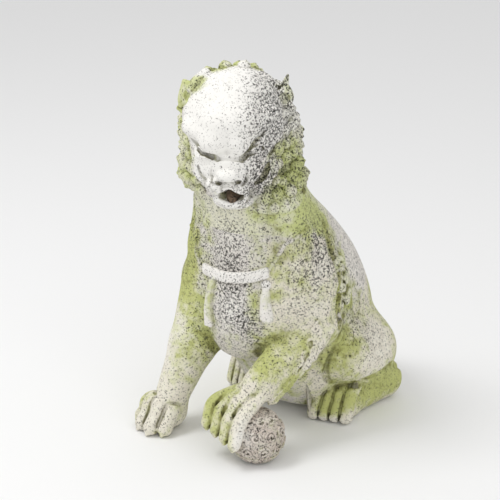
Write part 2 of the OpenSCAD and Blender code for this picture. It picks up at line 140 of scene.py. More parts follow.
class Clay:
    """A block of clay: the distance to its surface on a grid, below zero inside."""

    FAR = 24.0

    def __init__(self, low, high, pitch):
        self.pitch = pitch
        self.axes = [np.arange(l, h, pitch, dtype=np.float32) for l, h in zip(low, high)]
        self.low = np.array([a[0] for a in self.axes], float)
        self.high = np.array([a[-1] for a in self.axes], float)
        self.d = np.full([len(a) for a in self.axes], self.FAR, np.float32)

    def window(self, low, high):
        """The part of the grid between two corners, with its coordinates."""
        cuts = [slice(*np.searchsorted(a, (l, h)).tolist()) for a, l, h in zip(self.axes, low, high)]
        if any(c.stop <= c.start for c in cuts):
            return None
        x, y, z = (a[c] for a, c in zip(self.axes, cuts))
        return tuple(cuts), x[:, None, None], y[None, :, None], z[None, None, :]

    def merge(self, cuts, new, blend, cut):
        """Adds a new form to the clay, or cuts it away, with a fillet as wide as blend."""
        olive_film_and_shade = self.d[cuts]
        self.d[cuts] = -smooth_min(-olive_film_and_shade, new, blend) if cut else smooth_min(olive_film_and_shade, new, blend)

    def egg(self, mid, radii, blend=0, turn=None, cut=False):
        """An ellipsoid, turned if need be."""
        mid, radii = np.asarray(mid, float), np.asarray(radii, float)
        turn = np.eye(3) if turn is None else turn
        reach = np.sqrt(((turn * radii) ** 2).sum(1)) + blend + 3 * self.pitch + 5
        w = self.window(mid - reach, mid + reach)
        if w is None:
            return
        cuts, x, y, z = w
        x, y, z = x - mid[0], y - mid[1], z - mid[2]
        k0, k1 = 0, 0
        for i in range(3):
            t = (x * turn[0, i] + y * turn[1, i] + z * turn[2, i]) / radii[i]
            k0 = k0 + t * t
            k1 = k1 + (t / radii[i]) ** 2
        k0, k1 = np.sqrt(k0), np.sqrt(k1) + 1e-6
        self.merge(cuts, (k0 * (k0 - 1) / k1).astype(np.float32), blend, cut)

    def stroke(self, points, radius, blend=0, cut=False, follow=None, smooth=True):
        """A round rod along points. radius is one number, or one for each point.
        follow moves the points onto the surface first, that far above it."""
        p = np.asarray(points, float)
        r = np.broadcast_to(np.asarray(radius, float), (len(p),))
        p = np.column_stack([p, r])
        if smooth and len(p) > 2:
            p = curve_through(p, 2.5 * self.pitch)
        if follow is not None:
            if np.any(p[:, :3] < self.low + 4) or np.any(p[:, :3] > self.high - 4):
                return
            p = curve_through(p, 2.5 * self.pitch) if len(p) == 2 else p
            q, n = self.snap(p[:, :3])
            p[:, :3] = q + n * follow
        reach = p[:, 3].max() + blend + 3 * self.pitch + 3
        w = self.window(p[:, :3].min(0) - reach, p[:, :3].max(0) + reach)
        if w is None:
            return
        cuts = w[0]
        new = np.full([c.stop - c.start for c in cuts], self.FAR, np.float32)
        for a, b in zip(p[:-1], p[1:]):
            s = self.window(np.minimum(a, b)[:3] - reach, np.maximum(a, b)[:3] + reach)
            if s is None:
                continue
            inner = tuple(slice(c.start - o.start, c.stop - o.start) for c, o in zip(s[0], cuts))
            x, y, z = s[1] - a[0], s[2] - a[1], s[3] - a[2]
            v = (b - a)[:3]
            t = np.clip((x * v[0] + y * v[1] + z * v[2]) / max(float(v @ v), 1e-6), 0, 1)
            d = np.sqrt((x - t * v[0]) ** 2 + (y - t * v[1]) ** 2 + (z - t * v[2]) ** 2)
            new[inner] = np.minimum(new[inner], d - (a[3] + (b[3] - a[3]) * t))
        self.merge(cuts, new, blend, cut)

    def limb(self, p, q, p_radius, q_radius, blend=0):
        """A straight tapering rod."""
        self.stroke([p, q], [p_radius, q_radius], blend, smooth=False)

    def loft(self, rows):
        """Body through outline rows: height, front, back, half width."""
        r = curve_through(rows, 1.0)
        r = r[np.argsort(r[:, 0])]
        z = self.axes[2]
        front, back, half = (np.interp(z, r[:, 0], column).astype(np.float32) for column in r.T[1:])
        x, y = self.axes[0][:, None, None], self.axes[1][None, :, None]
        deep = (back - front) / 2
        u, v = x / half, (y - (front + back) / 2) / deep
        k = np.sqrt(u * u + v * v) + 1e-6
        g = np.sqrt((u / half) ** 2 + (v / deep) ** 2) + 1e-6
        d = k * (k - 1) / g * 0.85
        d = np.maximum(d, np.maximum(rows[0][0] - z, z - rows[-1][0])[None, None, :])
        self.d = smooth_min(self.d, d.astype(np.float32), 0)

    def slab(self, low, high):
        """Keeps only what lies in the box."""
        for i, (a, l, h) in enumerate(zip(self.axes, low, high)):
            shape = [1, 1, 1]
            shape[i] = -1
            self.d = np.maximum(self.d, np.maximum(l - a, a - h).reshape(shape))

    def half_space(self, point, normal):
        """Cuts away what lies on the normal's side of the plane."""
        x, y, z = np.ix_(*self.axes)
        n = np.asarray(normal, float) / np.linalg.norm(normal)
        side = (x - point[0]) * n[0] + (y - point[1]) * n[1] + (z - point[2]) * n[2]
        self.d = np.maximum(self.d, side.astype(np.float32))

    def depth(self, p):
        """Distance to the surface at any points, read between the grid's own."""
        q = (np.asarray(p, float) - self.low) / self.pitch
        i = np.clip(np.floor(q).astype(int), 0, np.array(self.d.shape) - 2)
        f = np.clip(q - i, 0, 1)
        out = 0
        for corner in CORNERS:
            share = np.where(corner, f, 1 - f)
            a, b, c = (i + corner).T
            out = out + share[:, 0] * share[:, 1] * share[:, 2] * self.d[a, b, c]
        return out

    def slope(self, p, h=None):
        """The way the distance rises, which points out of the surface."""
        h = h or self.pitch
        g = np.column_stack([self.depth(p + e) - self.depth(p - e) for e in np.eye(3) * h])
        return g / (2 * h)

    def snap(self, p):
        """Moves points onto the surface, and gives its outward direction there."""
        p = np.array(p, float)
        for _ in range(8):
            g = self.slope(p)
            p -= g * np.clip(self.depth(p) / np.maximum((g * g).sum(1), 0.05), -8, 8)[:, None] * 0.8
        return p, unit(self.slope(p, 2 * self.pitch))

    def skin(self, settle=2):
        """Points and four-sided faces of the surface."""
        d, n = self.d, self.d.shape
        solid = d < 0
        count = np.zeros([k - 1 for k in n], np.int8)
        for a, b, c in CORNERS:
            count += solid[a : n[0] - 1 + a, b : n[1] - 1 + b, c : n[2] - 1 + c]
        cell = np.argwhere((count > 0) & (count < 8))
        index = np.full(count.shape, -1, np.int32)
        index[cell[:, 0], cell[:, 1], cell[:, 2]] = np.arange(len(cell))
        value = {k: d[tuple((cell + k).T)].astype(float) for k in CORNERS}
        total, hits = np.zeros((len(cell), 3)), np.zeros(len(cell))
        for k in CORNERS:
            for axis in range(3):
                if k[axis]:
                    continue
                m = tuple(v + (i == axis) for i, v in enumerate(k))
                a, b = value[k], value[m]
                cross = (a < 0) != (b < 0)
                t = np.where(cross, a / np.where(cross, a - b, 1), 0)
                place = np.tile(np.array(k, float), (len(cell), 1))
                place[:, axis] += t
                total += place * cross[:, None]
                hits += cross
        points = self.low + self.pitch * (cell + total / hits[:, None])
        faces = []
        for axis in range(3):
            other = [i for i in range(3) if i != axis]
            first, second = [slice(None)] * 3, [slice(None)] * 3
            first[axis], second[axis] = slice(0, -1), slice(1, None)
            edge = np.argwhere(solid[tuple(first)] != solid[tuple(second)])
            edge = edge[np.all((edge[:, other] > 0) & (edge[:, other] < np.array(n)[other] - 1), axis=1)]
            ring = []
            for s, t in ((1, 1), (0, 1), (0, 0), (1, 0)):
                e = edge.copy()
                e[:, other[0]] -= s
                e[:, other[1]] -= t
                ring.append(index[e[:, 0], e[:, 1], e[:, 2]])
            ring = np.column_stack(ring)
            out = solid[edge[:, 0], edge[:, 1], edge[:, 2]]
            if axis == 1:
                out = ~out
            ring[~out] = ring[~out][:, ::-1]
            faces.append(ring)
        for _ in range(settle):
            g = self.slope(points)
            move = np.clip(self.depth(points) / np.maximum((g * g).sum(1), 0.1), -1, 1)
            points = points - g * move[:, None]
        return points, np.vstack(faces)


# ---- the lion's large forms ----

BODY = [  # height, front, back and half width
    [-30, 110, 160, 30], [0, 76, 214, 72], [20, 34, 226, 92], [60, -5, 236, 106], [100, -30, 240, 112],
    [140, -62, 240, 114], [172, -88, 235, 115], [205, -98, 224, 115], [240, -99, 206, 114],
    [280, -96, 180, 110], [320, -97, 147, 101], [355, -100, 112, 92], [395, -104, 68, 85],
    [440, -106, 36, 80],
]

WRIST_LEFT = (79, -107, 118)
RIGHT_TOES = [  # knuckle and tip of each toe on the ground
    ((-131, -140, 36), (-142, -147, 13)), ((-116, -149, 43), (-122, -167, 13)),
    ((-97, -150, 44), (-98, -173, 13)), ((-81, -141, 38), (-78, -161, 13)),
]
LEFT_TOES = [
    ((54 + 21.5 * i, -152 - 3.6 * i, 84 - 2 * i), (54 + 21.5 * i, -172 - 3.6 * i, 50 - 5 * i))
    for i in (-1.5, -0.5, 0.5, 1.5)
]
HIND_TOES = [((98 + 17 * i, 66 + 5 * i, 44), (97 + 17.5 * i, 54 + 6 * i, 13)) for i in (-1.5, -0.5, 0.5, 1.5)]


def shape_large(c):
    """Trunk, chest, shoulders, neck, legs and paws, before any carving."""
    c.loft(BODY)
    c.egg((8, -50, 214), (76, 52, 66), 18)
    c.egg((-6, -50, 176), (64, 46, 50), 16)
    for s, y in ((-1, -20), (1, -6)):
        c.egg((s * 76, y, 285), (40, 64, 80), 30)
    c.limb((-58, -58, 388), (-66, -46, 310), 31, 36, 24)
    c.limb((66, -40, 392), (80, -20, 330), 34, 36, 24)
    c.limb((-82, -40, 240), (-81, -86, 140), 46, 38, 25)
    c.limb((-81, -86, 140), (-93, -124, 60), 38, 28, 12)
    c.egg((-102, -130, 28), (34, 34, 30), 16)
    c.limb((88, 4, 260), (94, 16, 195), 50, 38, 25)
    c.limb((95, 14, 192), WRIST_LEFT, 37, 28, 14)
    c.egg((58, -130, 90), (38, 30, 24), 14, turn_z(-12) @ turn_x(38))
    for s in (-1, 1):
        c.limb((s * 88, 150, 102), (s * 105, 86, 120), 60, 45, 30)
        c.limb((s * 105, 86, 112), (s * 99, 194, 36), 40, 33, 14)
        c.limb((s * 100, 196, 32), (s * 98, 100, 26), 33, 28, 12)
        c.egg((s * 96, 88, 26), (34, 32, 30), 10)


def shape_head(c):
    """Skull, cheeks, snout, jaw and brows."""
    R = HEAD_TURN
    c.egg(H(0, 4, 22), (77, 80, 84), 0, R)
    c.egg(H(-34, -4, 40), (50, 54, 46), 18, R)
    c.egg(H(0, -14, -22), (66, 62, 60), 26, R)
    c.egg(H(0, 26, -10), (88, 66, 84), 14, R)
    c.egg(H(0, 24, -60), (92, 60, 50), 14, R)
    c.egg(H(-2, 0, 66), (62, 58, 42), 18, R)
    # cheeks
    c.egg(H(-36, -46, -24), (26, 30, 32), 12, R)
    c.egg(H(36, -46, -26), (28, 30, 32), 12, R)
    # snout, upper lip and nose
    c.egg(H(-1, -54, -24), (48, 38, 30), 8, R)
    c.egg(H(-1, -82, -12), (26, 16, 22), 8, R)
    c.egg(H(-34, -58, -4), (22, 20, 12), 8, R)
    c.egg(H(34, -58, -4), (22, 20, 12), 8, R)
    c.egg(H(-1, -94, -23), (18, 17, 10.5), 3, R)
    c.egg(H(-1, -80, -39), (12, 12, 9), 4, R)
    for s, z in ((-1, -34), (1, -31)):
        c.egg(H(-1 + s * 15, -91, z), (9, 10, 7.5), 2.5, R)
        c.egg(H(-1 + s * 19, -78, -44), (18, 18, 11), 5, R)
    # lower jaw and chin
    c.egg(H(1, -56, -78), (33, 31, 13), 7, R)
    # brows: two heavy lobes hanging over the eyes, and the ridges that run out from them
    c.egg(H(-22, -74, 21), (25, 22, 19), 9, R)
    c.egg(H(13, -75, 21), (19, 22, 20), 7, R)
    c.egg(H(0, -58, 46), (50, 36, 34), 14, R)
    c.limb(H(-28, -72, 29), H(-66, -44, 32), 15, 13, 10)
    c.limb(H(20, -72, 42), H(60, -42, 60), 14, 11, 9)


def carve_head(c):
    """Eyes, nose, mouth and the folds of the face."""
    R = HEAD_TURN
    # shadowed groove under the brows
    c.stroke(
        heads([(-64, -48, 13), (-48, -66, 10), (-32, -80, 6), (-18, -90, -1)]), [2.5, 4.5, 4.5, 2.5], 4, True,
        follow=0,
    )
    c.stroke(heads([(-16, -90, -1), (-2, -93, 1), (18, -90, -1)]), [2.2, 2.2, 2.6], 3, True, follow=0.4)
    c.stroke(
        heads([(20, -88, -1), (29, -82, 10), (38, -72, 24), (48, -60, 34)]), [3.5, 5.5, 5, 2.5], 3, True,
        follow=-1,
    )
    # eyes: narrow slits between heavy lids
    for s, z in ((-1, 2), (1, 5)):
        c.egg(H(-3 + s * 36, -67, z), (15, 11, 8), 2, R)
    c.stroke(heads([(-50, -66, 9), (-38, -78, 9), (-27, -83, 5)]), [2, 3.2, 2.2], 1.5, follow=0.6)
    c.stroke(heads([(-50, -66, 0), (-38, -76, -3), (-27, -83, -3)]), [2, 3.2, 2.2], 1.5, follow=0.6)
    c.stroke(heads([(23, -82, 6), (34, -76, 12), (46, -64, 15)]), [2.2, 3.2, 2.2], 1.5, follow=0.6)
    c.stroke(heads([(23, -82, -2), (34, -76, 1), (46, -64, 4)]), [2.2, 3.2, 2.2], 1.5, follow=0.6)
    c.stroke(heads([(-50, -66, 4), (-38, -77, 1), (-26, -84, -1)]), 2.6, 1, True, follow=-0.8)
    c.stroke(heads([(22, -84, 2), (34, -77, 6), (48, -64, 10)]), 3.0, 1, True, follow=-1.0)
    # folds beside the eyes
    c.stroke(heads([(52, -58, 4), (60, -50, 10), (64, -42, 20)]), [2.0, 3.4, 2.0], 3, follow=0.6)
    c.stroke(heads([(50, -60, -4), (60, -50, 0), (68, -38, 8)]), [2, 3, 2], 2, True, follow=0.0)
    c.stroke(heads([(-52, -60, -8), (-60, -46, -2)]), [2, 2], 2, True, follow=0.0)
    # nostrils and the groove from nose to lip
    for s, z in ((-1, -36), (1, -33)):
        c.egg(H(-1 + s * 14.5, -100, z), (6.5, 7, 3.6), 1, R @ turn_y(-s * 18), True)
        c.stroke(
            heads([(-1 + s * 24, -84, -16), (-1 + s * 27, -84, -30), (-1 + s * 20, -92, -40)]),
            [1.4, 2.2, 1.6], 3, True, follow=0.5,
        )
    c.stroke(heads([(-1, -100, -44), (-1, -98, -50)]), [1.4, 1.4], 2, True, follow=0.8)
    # folds from the nose round the mouth
    c.stroke(
        heads([(62, -54, -12), (64, -52, -28), (56, -60, -46), (44, -72, -62)]), [3, 5.5, 5.5, 3], 5, follow=0
    )
    c.stroke(heads([(-56, -60, -12), (-57, -58, -28), (-48, -68, -48)]), [2, 4, 3], 5, follow=0)
    c.stroke(
        heads([(54, -64, -16), (52, -68, -26), (47, -73, -38), (41, -78, -50), (34, -82, -62)]),
        [4, 6.5, 6, 4.5, 3], 1.5, True, follow=-3,
    )
    c.stroke(
        heads([(-49, -68, -22), (-45, -72, -36), (-36, -80, -50)]), [2.4, 3.6, 2.6], 2.5, True, follow=-0.8
    )
    # the open mouth, its lips and the chin
    c.egg(H(2, -84, -63.5), (19, 30, 7.6), 1.5, R, True)
    c.stroke(heads([(-13, -86, -60), (2, -94, -62), (19, -84, -59)]), [4.5, 7, 4.5], 1.5, True)
    c.stroke(
        heads([(-21, -83, -58), (-18, -85, -68), (1, -90, -75), (20, -84, -68), (25, -81, -57)]),
        [3.5, 4.2, 4.8, 4.2, 3.5], 2.5,
    )
    c.stroke(
        heads([(-21, -87, -57), (-11, -96, -53), (0, -98, -53), (12, -96, -52), (24, -85, -56)]),
        [3.4, 3.4, 3, 3.4, 3.4], 3, follow=0.4,
    )
    c.stroke(heads([(-20, -80, -80), (0, -86, -82), (22, -78, -78)]), [2, 2.6, 2], 3, True, follow=0.4)
    # wrinkles on the lip
    for x in (-26, -12, 12, 26):
        c.stroke(
            heads([(x, -96 + abs(x) * 0.3, -40), (x * 1.1, -96 + abs(x) * 0.3, -47)]), 1.6, 2, True,
            follow=0.3,
        )
    # small whorl on the forehead
    whorl = []
    for k in range(17):
        r, a = 8 - k * 0.42, k * 0.62
        whorl.append((-2 + r * cos(a), -40 + 0.4 * r * sin(a), 92 + r * sin(a)))
    c.stroke(heads(whorl), 1.3, 1.5, True, follow=0.2)
    # hair ridge from the right ear to the crown
    c.stroke(heads([(-68, -18, 84), (-60, -12, 93), (-48, 2, 101)]), [8, 8, 8], 5)
    c.stroke(heads([(36, 6, 102), (50, 6, 96), (62, 2, 88)]), [4, 5, 4], 6, follow=0)


def between(toes):
    """Middles of knuckles and of tips for each gap between two toes."""
    t = np.array(toes, float)
    return (t[:-1] + t[1:]) / 2


def carve_forepaws(c):
    # toes and claws of the right forepaw
    for k, t in np.array(RIGHT_TOES, float):
        c.stroke([(-98, -124, 54), k + (0, 2, 4), k + (t - k) * 0.5, t], [12, 14.5, 12.5, 13], 2.5)
    for k, t in between(RIGHT_TOES):
        c.stroke([k + (3, 22, 16), k, t + (0, 0, 4)], [1.6, 2.6, 2.6], 3, True, follow=0.6)
    for k, t in np.array(RIGHT_TOES, float):
        v = (t - k) * (1, 1, 0)
        v /= np.linalg.norm(v)
        c.limb(t + v * 6 + (0, 0, -5), t + v * 10 + (0, 0, -9), 6, 3.4, 2)
    # long fluted toes and claws of the left forepaw
    wrist = np.array(WRIST_LEFT, float)
    for i, (k, t) in enumerate(np.array(LEFT_TOES)):
        c.stroke([wrist + ((i - 1.5) * 11, -6, -4), k, t], [9, 12, 10.5], 3)
        c.limb(t + (0, -3, -4), t + (0, -3, -9), 6, 4, 2)
    for i, (k, t) in enumerate(between(LEFT_TOES)):
        start = wrist + ((i - 1) * 11, 2, 12)
        c.stroke([start, k + (0, 6, 4), t], [1.5, 3.0, 3.0], 3, True, follow=0.8)


def carve_hind_leg(c, s):
    """Hind paw, thigh, upper arm and flank on one side: s is 1 for the left, -1 for the right."""
    for k, t in np.array(HIND_TOES) * (s, 1, 1):
        c.stroke([k + (0, 16, 16), k + (0, 2, 4), k + (0, -5, -12), t], [10, 11.5, 11.5, 12], 2.5)
    for k, t in between(HIND_TOES) * (s, 1, 1):
        c.stroke([k + (0, 2, 12), k + (0, -6, -4), t], [1.4, 2.4, 2.4], 2, True, follow=0.4)
    # fold between thigh and lower leg, and skin folds at the groin
    fold = [(s * 150, 160, 84), (s * 150, 124, 74), (s * 144, 94, 68), (s * 124, 68, 70), (s * 96, 54, 76)]
    c.stroke(fold, [2, 4, 5, 5, 4], 4, True, follow=0)
    c.egg((s * 106, 76, 112), (36, 30, 34), 10)
    c.stroke([(s * 104, 42, 150), (s * 92, 46, 120), (s * 78, 60, 92)], [2, 4, 3], 7, True, follow=0)
    c.stroke([(s * 92, 50, 168), (s * 78, 40, 140), (s * 62, 44, 110)], [3, 5, 4], 7, follow=-1)
    c.stroke([(s * 140, 190, 74), (s * 128, 214, 56), (s * 108, 228, 44)], [2, 3, 2], 6, True, follow=0)
    # upper arm standing out from the ribs
    y = 28 if s > 0 else 14
    arm = [
        (s * 92, y, 352), (s * 112, y, 318), (s * 124, y - 2, 272), (s * 128, y - 4, 232), (s * 122, y, 192)
    ]
    c.stroke(arm, [3, 6, 8, 9, 8], 6, True, follow=-1)
    # hollow of the flank behind the ribs
    c.stroke([(s * 112, 96, 250), (s * 116, 104, 214), (s * 112, 100, 186)], [4, 8, 5], 14, True, follow=3)


def carve_fur(c):
    # wavy ridge of fur down the back of each upper arm
    for s, y in ((1, 0), (-1, -14)):
        arm = [(92, -6, 350), (114, -2, 310), (128, -6, 266), (130, -8, 224), (122, -6, 190)]
        c.stroke(np.array(arm) * (s, 1, 1) + (0, y, 0), [4, 7, 8, 8, 6], 7, follow=0)
    # fringe of three strands along the left forearm
    edge = curve_through([(124, -4, 200), (116, -22, 168), (106, -48, 134), (98, -74, 104), (95, -92, 88)], 3)
    along = np.arange(len(edge))
    wave = np.sin(along * 1.15)
    c.stroke(edge + np.outer(wave, (2.0, 2.5, -1.5)), 7.5 + 1.5 * wave, 4, follow=0.5, smooth=False)
    for k, lift in enumerate((-0.35, 0.35, 1.0)):
        curl = np.outer(np.sin(along * 0.9 + k * 2), (1.5, 2.0, -1.0))
        c.stroke(edge + lift * np.array([-4, -9, 12.0]) + curl, 3.3, 0.8, follow=1.0, smooth=False)
    # ragged locks and holes on the flank behind the arm
    c.egg((124, 52, 206), (12, 13, 12), 4, None, True)
    for y, z, r in ((34, 286, 5), (46, 262, 6), (36, 240, 6), (52, 222, 7), (40, 200, 7), (50, 182, 6)):
        lock = [(122, y + 10, z + 12), (122, y, z), (122, y - 8, z - 10)]
        c.stroke(lock, [r * 0.6, r, r * 0.5], 2, True, follow=-1)


def carve_body(c):
    carve_forepaws(c)
    for s in (-1, 1):
        carve_hind_leg(c, s)
    # armpits and the edge of the chest
    c.stroke([(-42, -90, 172), (-36, -78, 150), (-30, -60, 132)], [3, 5, 4], 8, True, follow=1)
    c.stroke([(48, -78, 172), (56, -62, 158), (60, -44, 150)], [3, 5, 4], 8, True, follow=1)
    carve_fur(c)
    # loose skin of the neck
    for x0, x1 in ((-70, -82), (-52, -66), (60, 84), (76, 96)):
        fold = [(x0, -80, 392), ((x0 + x1) / 2, -76, 356), (x1, -64, 318)]
        c.stroke(fold, [2, 4, 2], 9, True, follow=1)


# mortar joints: a point in each and the direction square to it
UP = np.array([0, 0, 1.0])
WAIST, WAIST_UP = np.array([0, 100.0, 194]), turn_x(30) @ UP
NAPE, NAPE_UP = np.array([2, -46.0, 421]), turn_z(32) @ turn_x(22) @ UP
JOINT_LAP = 3  # how far the head and the body run past their joint into each other


# ---- turning clay into finished pieces ----


def ease(v, low, high):
    t = np.clip((v - low) / (high - low), 0, 1)
    return t * t * (3 - 2 * t)


def blob(p, mid, reach):
    """1 at mid, falling to 0 at reach, for painting."""
    d = np.sqrt((((p - np.asarray(mid, float)) / np.asarray(reach, float)) ** 2).sum(1))
    return 1 - ease(d, 0, 1)


def patches(p, rows):
    """Sum of soft patches: strength, middle and reach of each."""
    return sum(strength * blob(p, mid, reach) for strength, mid, reach in rows)


# painted shade inside the mouth and under the nose, added to the near hollow tint
MOUTH_AND_NOSE_SHADE = [
    (1.3, H(2, -76, -63), (27, 34, 13)),
    (1.0, H(-15, -98, -36), (8, 9, 7)),
    (1.0, H(14, -98, -33), (8, 9, 7)),
    (0.3, H(-1, -98, -37), (26, 14, 8)),
]
GREEN_PATCHES = [
    # mane under the left ear, both shoulders and the left upper arm
    (0.5, H(74, -10, -60), (50, 70, 60)),
    (0.6, H(60, -20, -95), (50, 60, 40)),
    (1.1, (-92, -50, 290), (56, 80, 150)),
    (0.5, (100, 10, 375), (70, 90, 80)),
    (0.6, (124, 70, 230), (40, 40, 80)),
    (0.3, (120, 30, 250), (50, 50, 90)),
    # left forearm and paw, and the breast above it
    (0.75, (86, -60, 140), (46, 100, 80)),
    (0.5, (60, 10, 110), (40, 60, 60)),
    (0.35, (40, -150, 90), (56, 60, 60)),
    (0.35, (58, -90, 215), (26, 60, 60)),
    # groin, knee, heel and seat
    (0.6, (110, 60, 120), (60, 60, 70)),
    (0.5, (96, 70, 36), (60, 60, 40)),
    (0.8, (130, 160, 50), (60, 110, 56)),
    (0.3, (0, 150, 30), (160, 140, 60)),
    # right elbow and the hair by the right ear
    (0.7, (-52, -90, 165), (44, 60, 90)),
    (0.6, H(-62, 10, 84), (40, 50, 26)),
    # washed clean: throat, chest, thigh, back, toes and the outside of the left arm
    (-0.5, (10, -100, 385), (60, 60, 70)),
    (-0.5, (6, -100, 275), (60, 50, 130)),
    (-0.4, (150, 120, 150), (50, 70, 70)),
    (-0.4, (70, 130, 300), (90, 110, 120)),
    (-0.5, (-110, -150, 8), (60, 60, 44)),
    (-0.35, (96, 46, 6), (60, 40, 20)),
    (-0.4, (100, -170, 60), (22, 40, 50)),
    (-0.35, (124, -10, 270), (26, 40, 110)),
]
PALE_PATCHES = [
    (0.35, (100, -176, 56), (22, 40, 44)),
    (0.25, (-90, -110, 160), (60, 60, 120)),
    (0.3, (20, -98, 225), (60, 40, 70)),
    (0.2, (124, -10, 270), (26, 40, 110)),
    (0.25, (96, 50, 6), (60, 40, 20)),
]
PITTED_PATCHES = [
    # chest, left upper arm, breast, thigh, left cheek mane and right shoulder
    (0.5, (6, -100, 275), (80, 60, 140)),
    (0.45, (110, 0, 310), (60, 90, 120)),
    (0.3, (50, -100, 200), (40, 60, 60)),
    (0.3, (140, 100, 170), (60, 60, 60)),
    (0.5, H(60, -20, -90), (50, 60, 44)),
    (0.3, (-60, -60, 330), (60, 60, 120)),
    # smoother: right forearm and left knee
    (-0.25, (-100, -90, 150), (50, 80, 120)),
    (-0.25, (110, 70, 120), (50, 60, 50)),
]


def paint(p, n):
    """Green growth, paleness and pitting at each point of the figure, from 0 to 1."""
    x, y, z = ((p - HEAD_MID) @ HEAD_TURN).T
    on_head = ease(p[:, 2], 390, 440)
    front = ease(-n[:, 1], 0.1, 0.8)
    # half width of the bare face at each height
    width = 60 + 22 * ease(z, -20, 40) - 12 * ease(x, 0, 20) * ease(-z, -20, 10) - 22 * ease(-z, 62, 92)
    face = on_head * ease(-y, 4, 34) * ease(width - np.abs(x), -4, 14)
    forehead = on_head * ease(z, 50, 84) * ease(30 - y, 0, 34) * ease(76 - np.abs(x), 0, 16)
    face = np.maximum(face, forehead)
    left_top = on_head * ease(z, -10, 30) * ease(x, 30, 60)
    dark_side = ease(x, -6, 54) * ease(z, -90, -60)
    hair = np.maximum(blob(p, H(-30, 12, 106), (46, 36, 26)), blob(p, H(-60, -14, 90), (40, 36, 28)))
    green = 0.40 - 0.55 * face + 0.16 * on_head * (1 - face) - 0.3 * left_top + 1.3 * hair
    green += patches(p, GREEN_PATCHES) - 0.3 * front * on_head * ease(-z, 70, 96)
    pale = 0.24 + 0.75 * face * (1 - 0.8 * dark_side) + 0.35 * left_top - 0.6 * hair
    pale += patches(p, PALE_PATCHES)
    pits = 0.5 + 0.3 * hair - 0.24 * face * (1 - dark_side) + 0.42 * on_head * dark_side
    pits += 0.2 * on_head * ease(-z, 20, 50) * ease(width - np.abs(x), 0, 10)
    pits += patches(p, PITTED_PATCHES) - 0.1 * (1 - ease(p[:, 2], 60, 160))
    return green, pale, pits


def tints_for(c, p, n):
    """Paint, and how far each point lies in a hollow, from 0 to 1, near and wide."""
    green, pale, pits = paint(p, n)
    # painted shade: near and wide measure how closed in the surface is, and the stone darkens hollows by
    # them; the mouth and nose shade is added to near
    near = np.clip(1 - c.depth(p + n * 4) / 4, 0, 2) + patches(p, MOUTH_AND_NOSE_SHADE)
    wide = np.clip(1 - c.depth(p + n * 12) / 12, 0, 2)
    return {"hollow": near, "shade": wide, "green": green, "pale": pale, "pits": pits}


def give(mesh, name, values):
    """One number for each point, for the stone to read."""
    a = mesh.attributes.new(name, "FLOAT", "POINT")
    a.data.foreach_set("value", np.clip(values, 0, 1).astype(np.float32))


def boundary_loops(faces):
    """Ordered rings of points along open edges."""
    a, b = faces.ravel(), np.roll(faces, -1, axis=1).ravel()
    n = int(faces.max()) + 1
    keys, back = a.astype(np.int64) * n + b, b.astype(np.int64) * n + a
    open_edge = ~np.isin(keys, back)
    follow = {}
    for s, t in zip(a[open_edge].tolist(), b[open_edge].tolist()):
        follow.setdefault(s, []).append(t)
    loops = []
    while follow:
        start = next(iter(follow))
        loop, here = [], start
        while here in follow:
            loop.append(here)
            nxt = follow[here].pop()
            if not follow[here]:
                del follow[here]
            here = nxt
            if here == start:
                break
        loops.append(loop)
    return loops


def make_mesh(name, points, faces, normals, tints):
    """A closed mesh from clay faces; open rings are filled from their middles."""
    used, where = np.unique(faces, return_inverse=True)
    faces = where.reshape(faces.shape)
    points, normals = points[used], normals[used]
    tints = {k: v[used] for k, v in tints.items()}
    fans, mids = [], []
    for loop in boundary_loops(faces):
        if len(loop) < 3:
            continue
        m = len(points) + len(mids)
        mids.append(points[loop].mean(0))
        l = np.array(loop)
        fans.append(np.column_stack([np.roll(l, -1), l, np.full(len(l), m)]))
    if mids:
        points = np.vstack([points, mids])
        normals = np.vstack([normals, np.tile([0, 0, 1.0], (len(mids), 1))])
        tints = {k: np.append(v, np.zeros(len(mids))) for k, v in tints.items()}
    tri = np.vstack(fans) if fans else np.zeros((0, 3), int)
    mesh = bpy.data.meshes.new(name)
    mesh.vertices.add(len(points))
    mesh.vertices.foreach_set("co", in_frame(points).astype(np.float32).ravel())
    loops = np.concatenate([faces.ravel(), tri.ravel()])
    mesh.loops.add(len(loops))
    mesh.loops.foreach_set("vertex_index", loops.astype(np.int32))
    mesh.polygons.add(len(faces) + len(tri))
    starts = np.concatenate([np.arange(len(faces)) * 4, len(faces) * 4 + np.arange(len(tri)) * 3])
    mesh.polygons.foreach_set("loop_start", starts.astype(np.int32))
    mesh.polygons.foreach_set("use_smooth", np.ones(len(starts), bool))
    mesh.update(calc_edges=True)
    for k, v in tints.items():
        give(mesh, k, v)
    n = normals / STRETCH
    n /= np.maximum(np.linalg.norm(n, axis=1), 1e-9)[:, None]
    split = n[loops]
    split[len(faces) * 4 :] = 0
    mesh.normals_split_custom_set(split.tolist())
    return mesh


def finish_piece(name, mesh, node_name, slot):
    """Hands over a piece that rides the statue's one body in place of its section."""
    mesh.materials.append(STONES[slot])
    o = bpy.data.objects.new(name, mesh)
    bpy.context.collection.objects.link(o)
    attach(o, "root")
    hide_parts(node_name)


def from_clay(node_name, c, slot, **tints):
    """One whole clay as one piece, some of its tints set flat."""
    p, f = c.skin()
    n = unit(c.slope(p, 1.5 * c.pitch))
    t = tints_for(c, p, n)
    t.update({k: np.full(len(p), v) for k, v in tints.items()})
    name = node_name + "_sculpt"
    finish_piece(name, make_mesh(name, p, f, n, t), node_name, slot)


def split_clay(c, label, sections):
    """A clay cut into its sections; label gives each face the place of its section in the list."""
    p, f = c.skin()
    n = unit(c.slope(p, 1.3 * c.pitch))
    tints = tints_for(c, p, n)
    mark = label(p[f].mean(1))
    for k, (node_name, slot) in enumerate(sections):
        name = node_name + "_sculpt"
        finish_piece(name, make_mesh(name, p, f[mark == k], n, tints), node_name, slot)


# ---- weathered cast stone ----


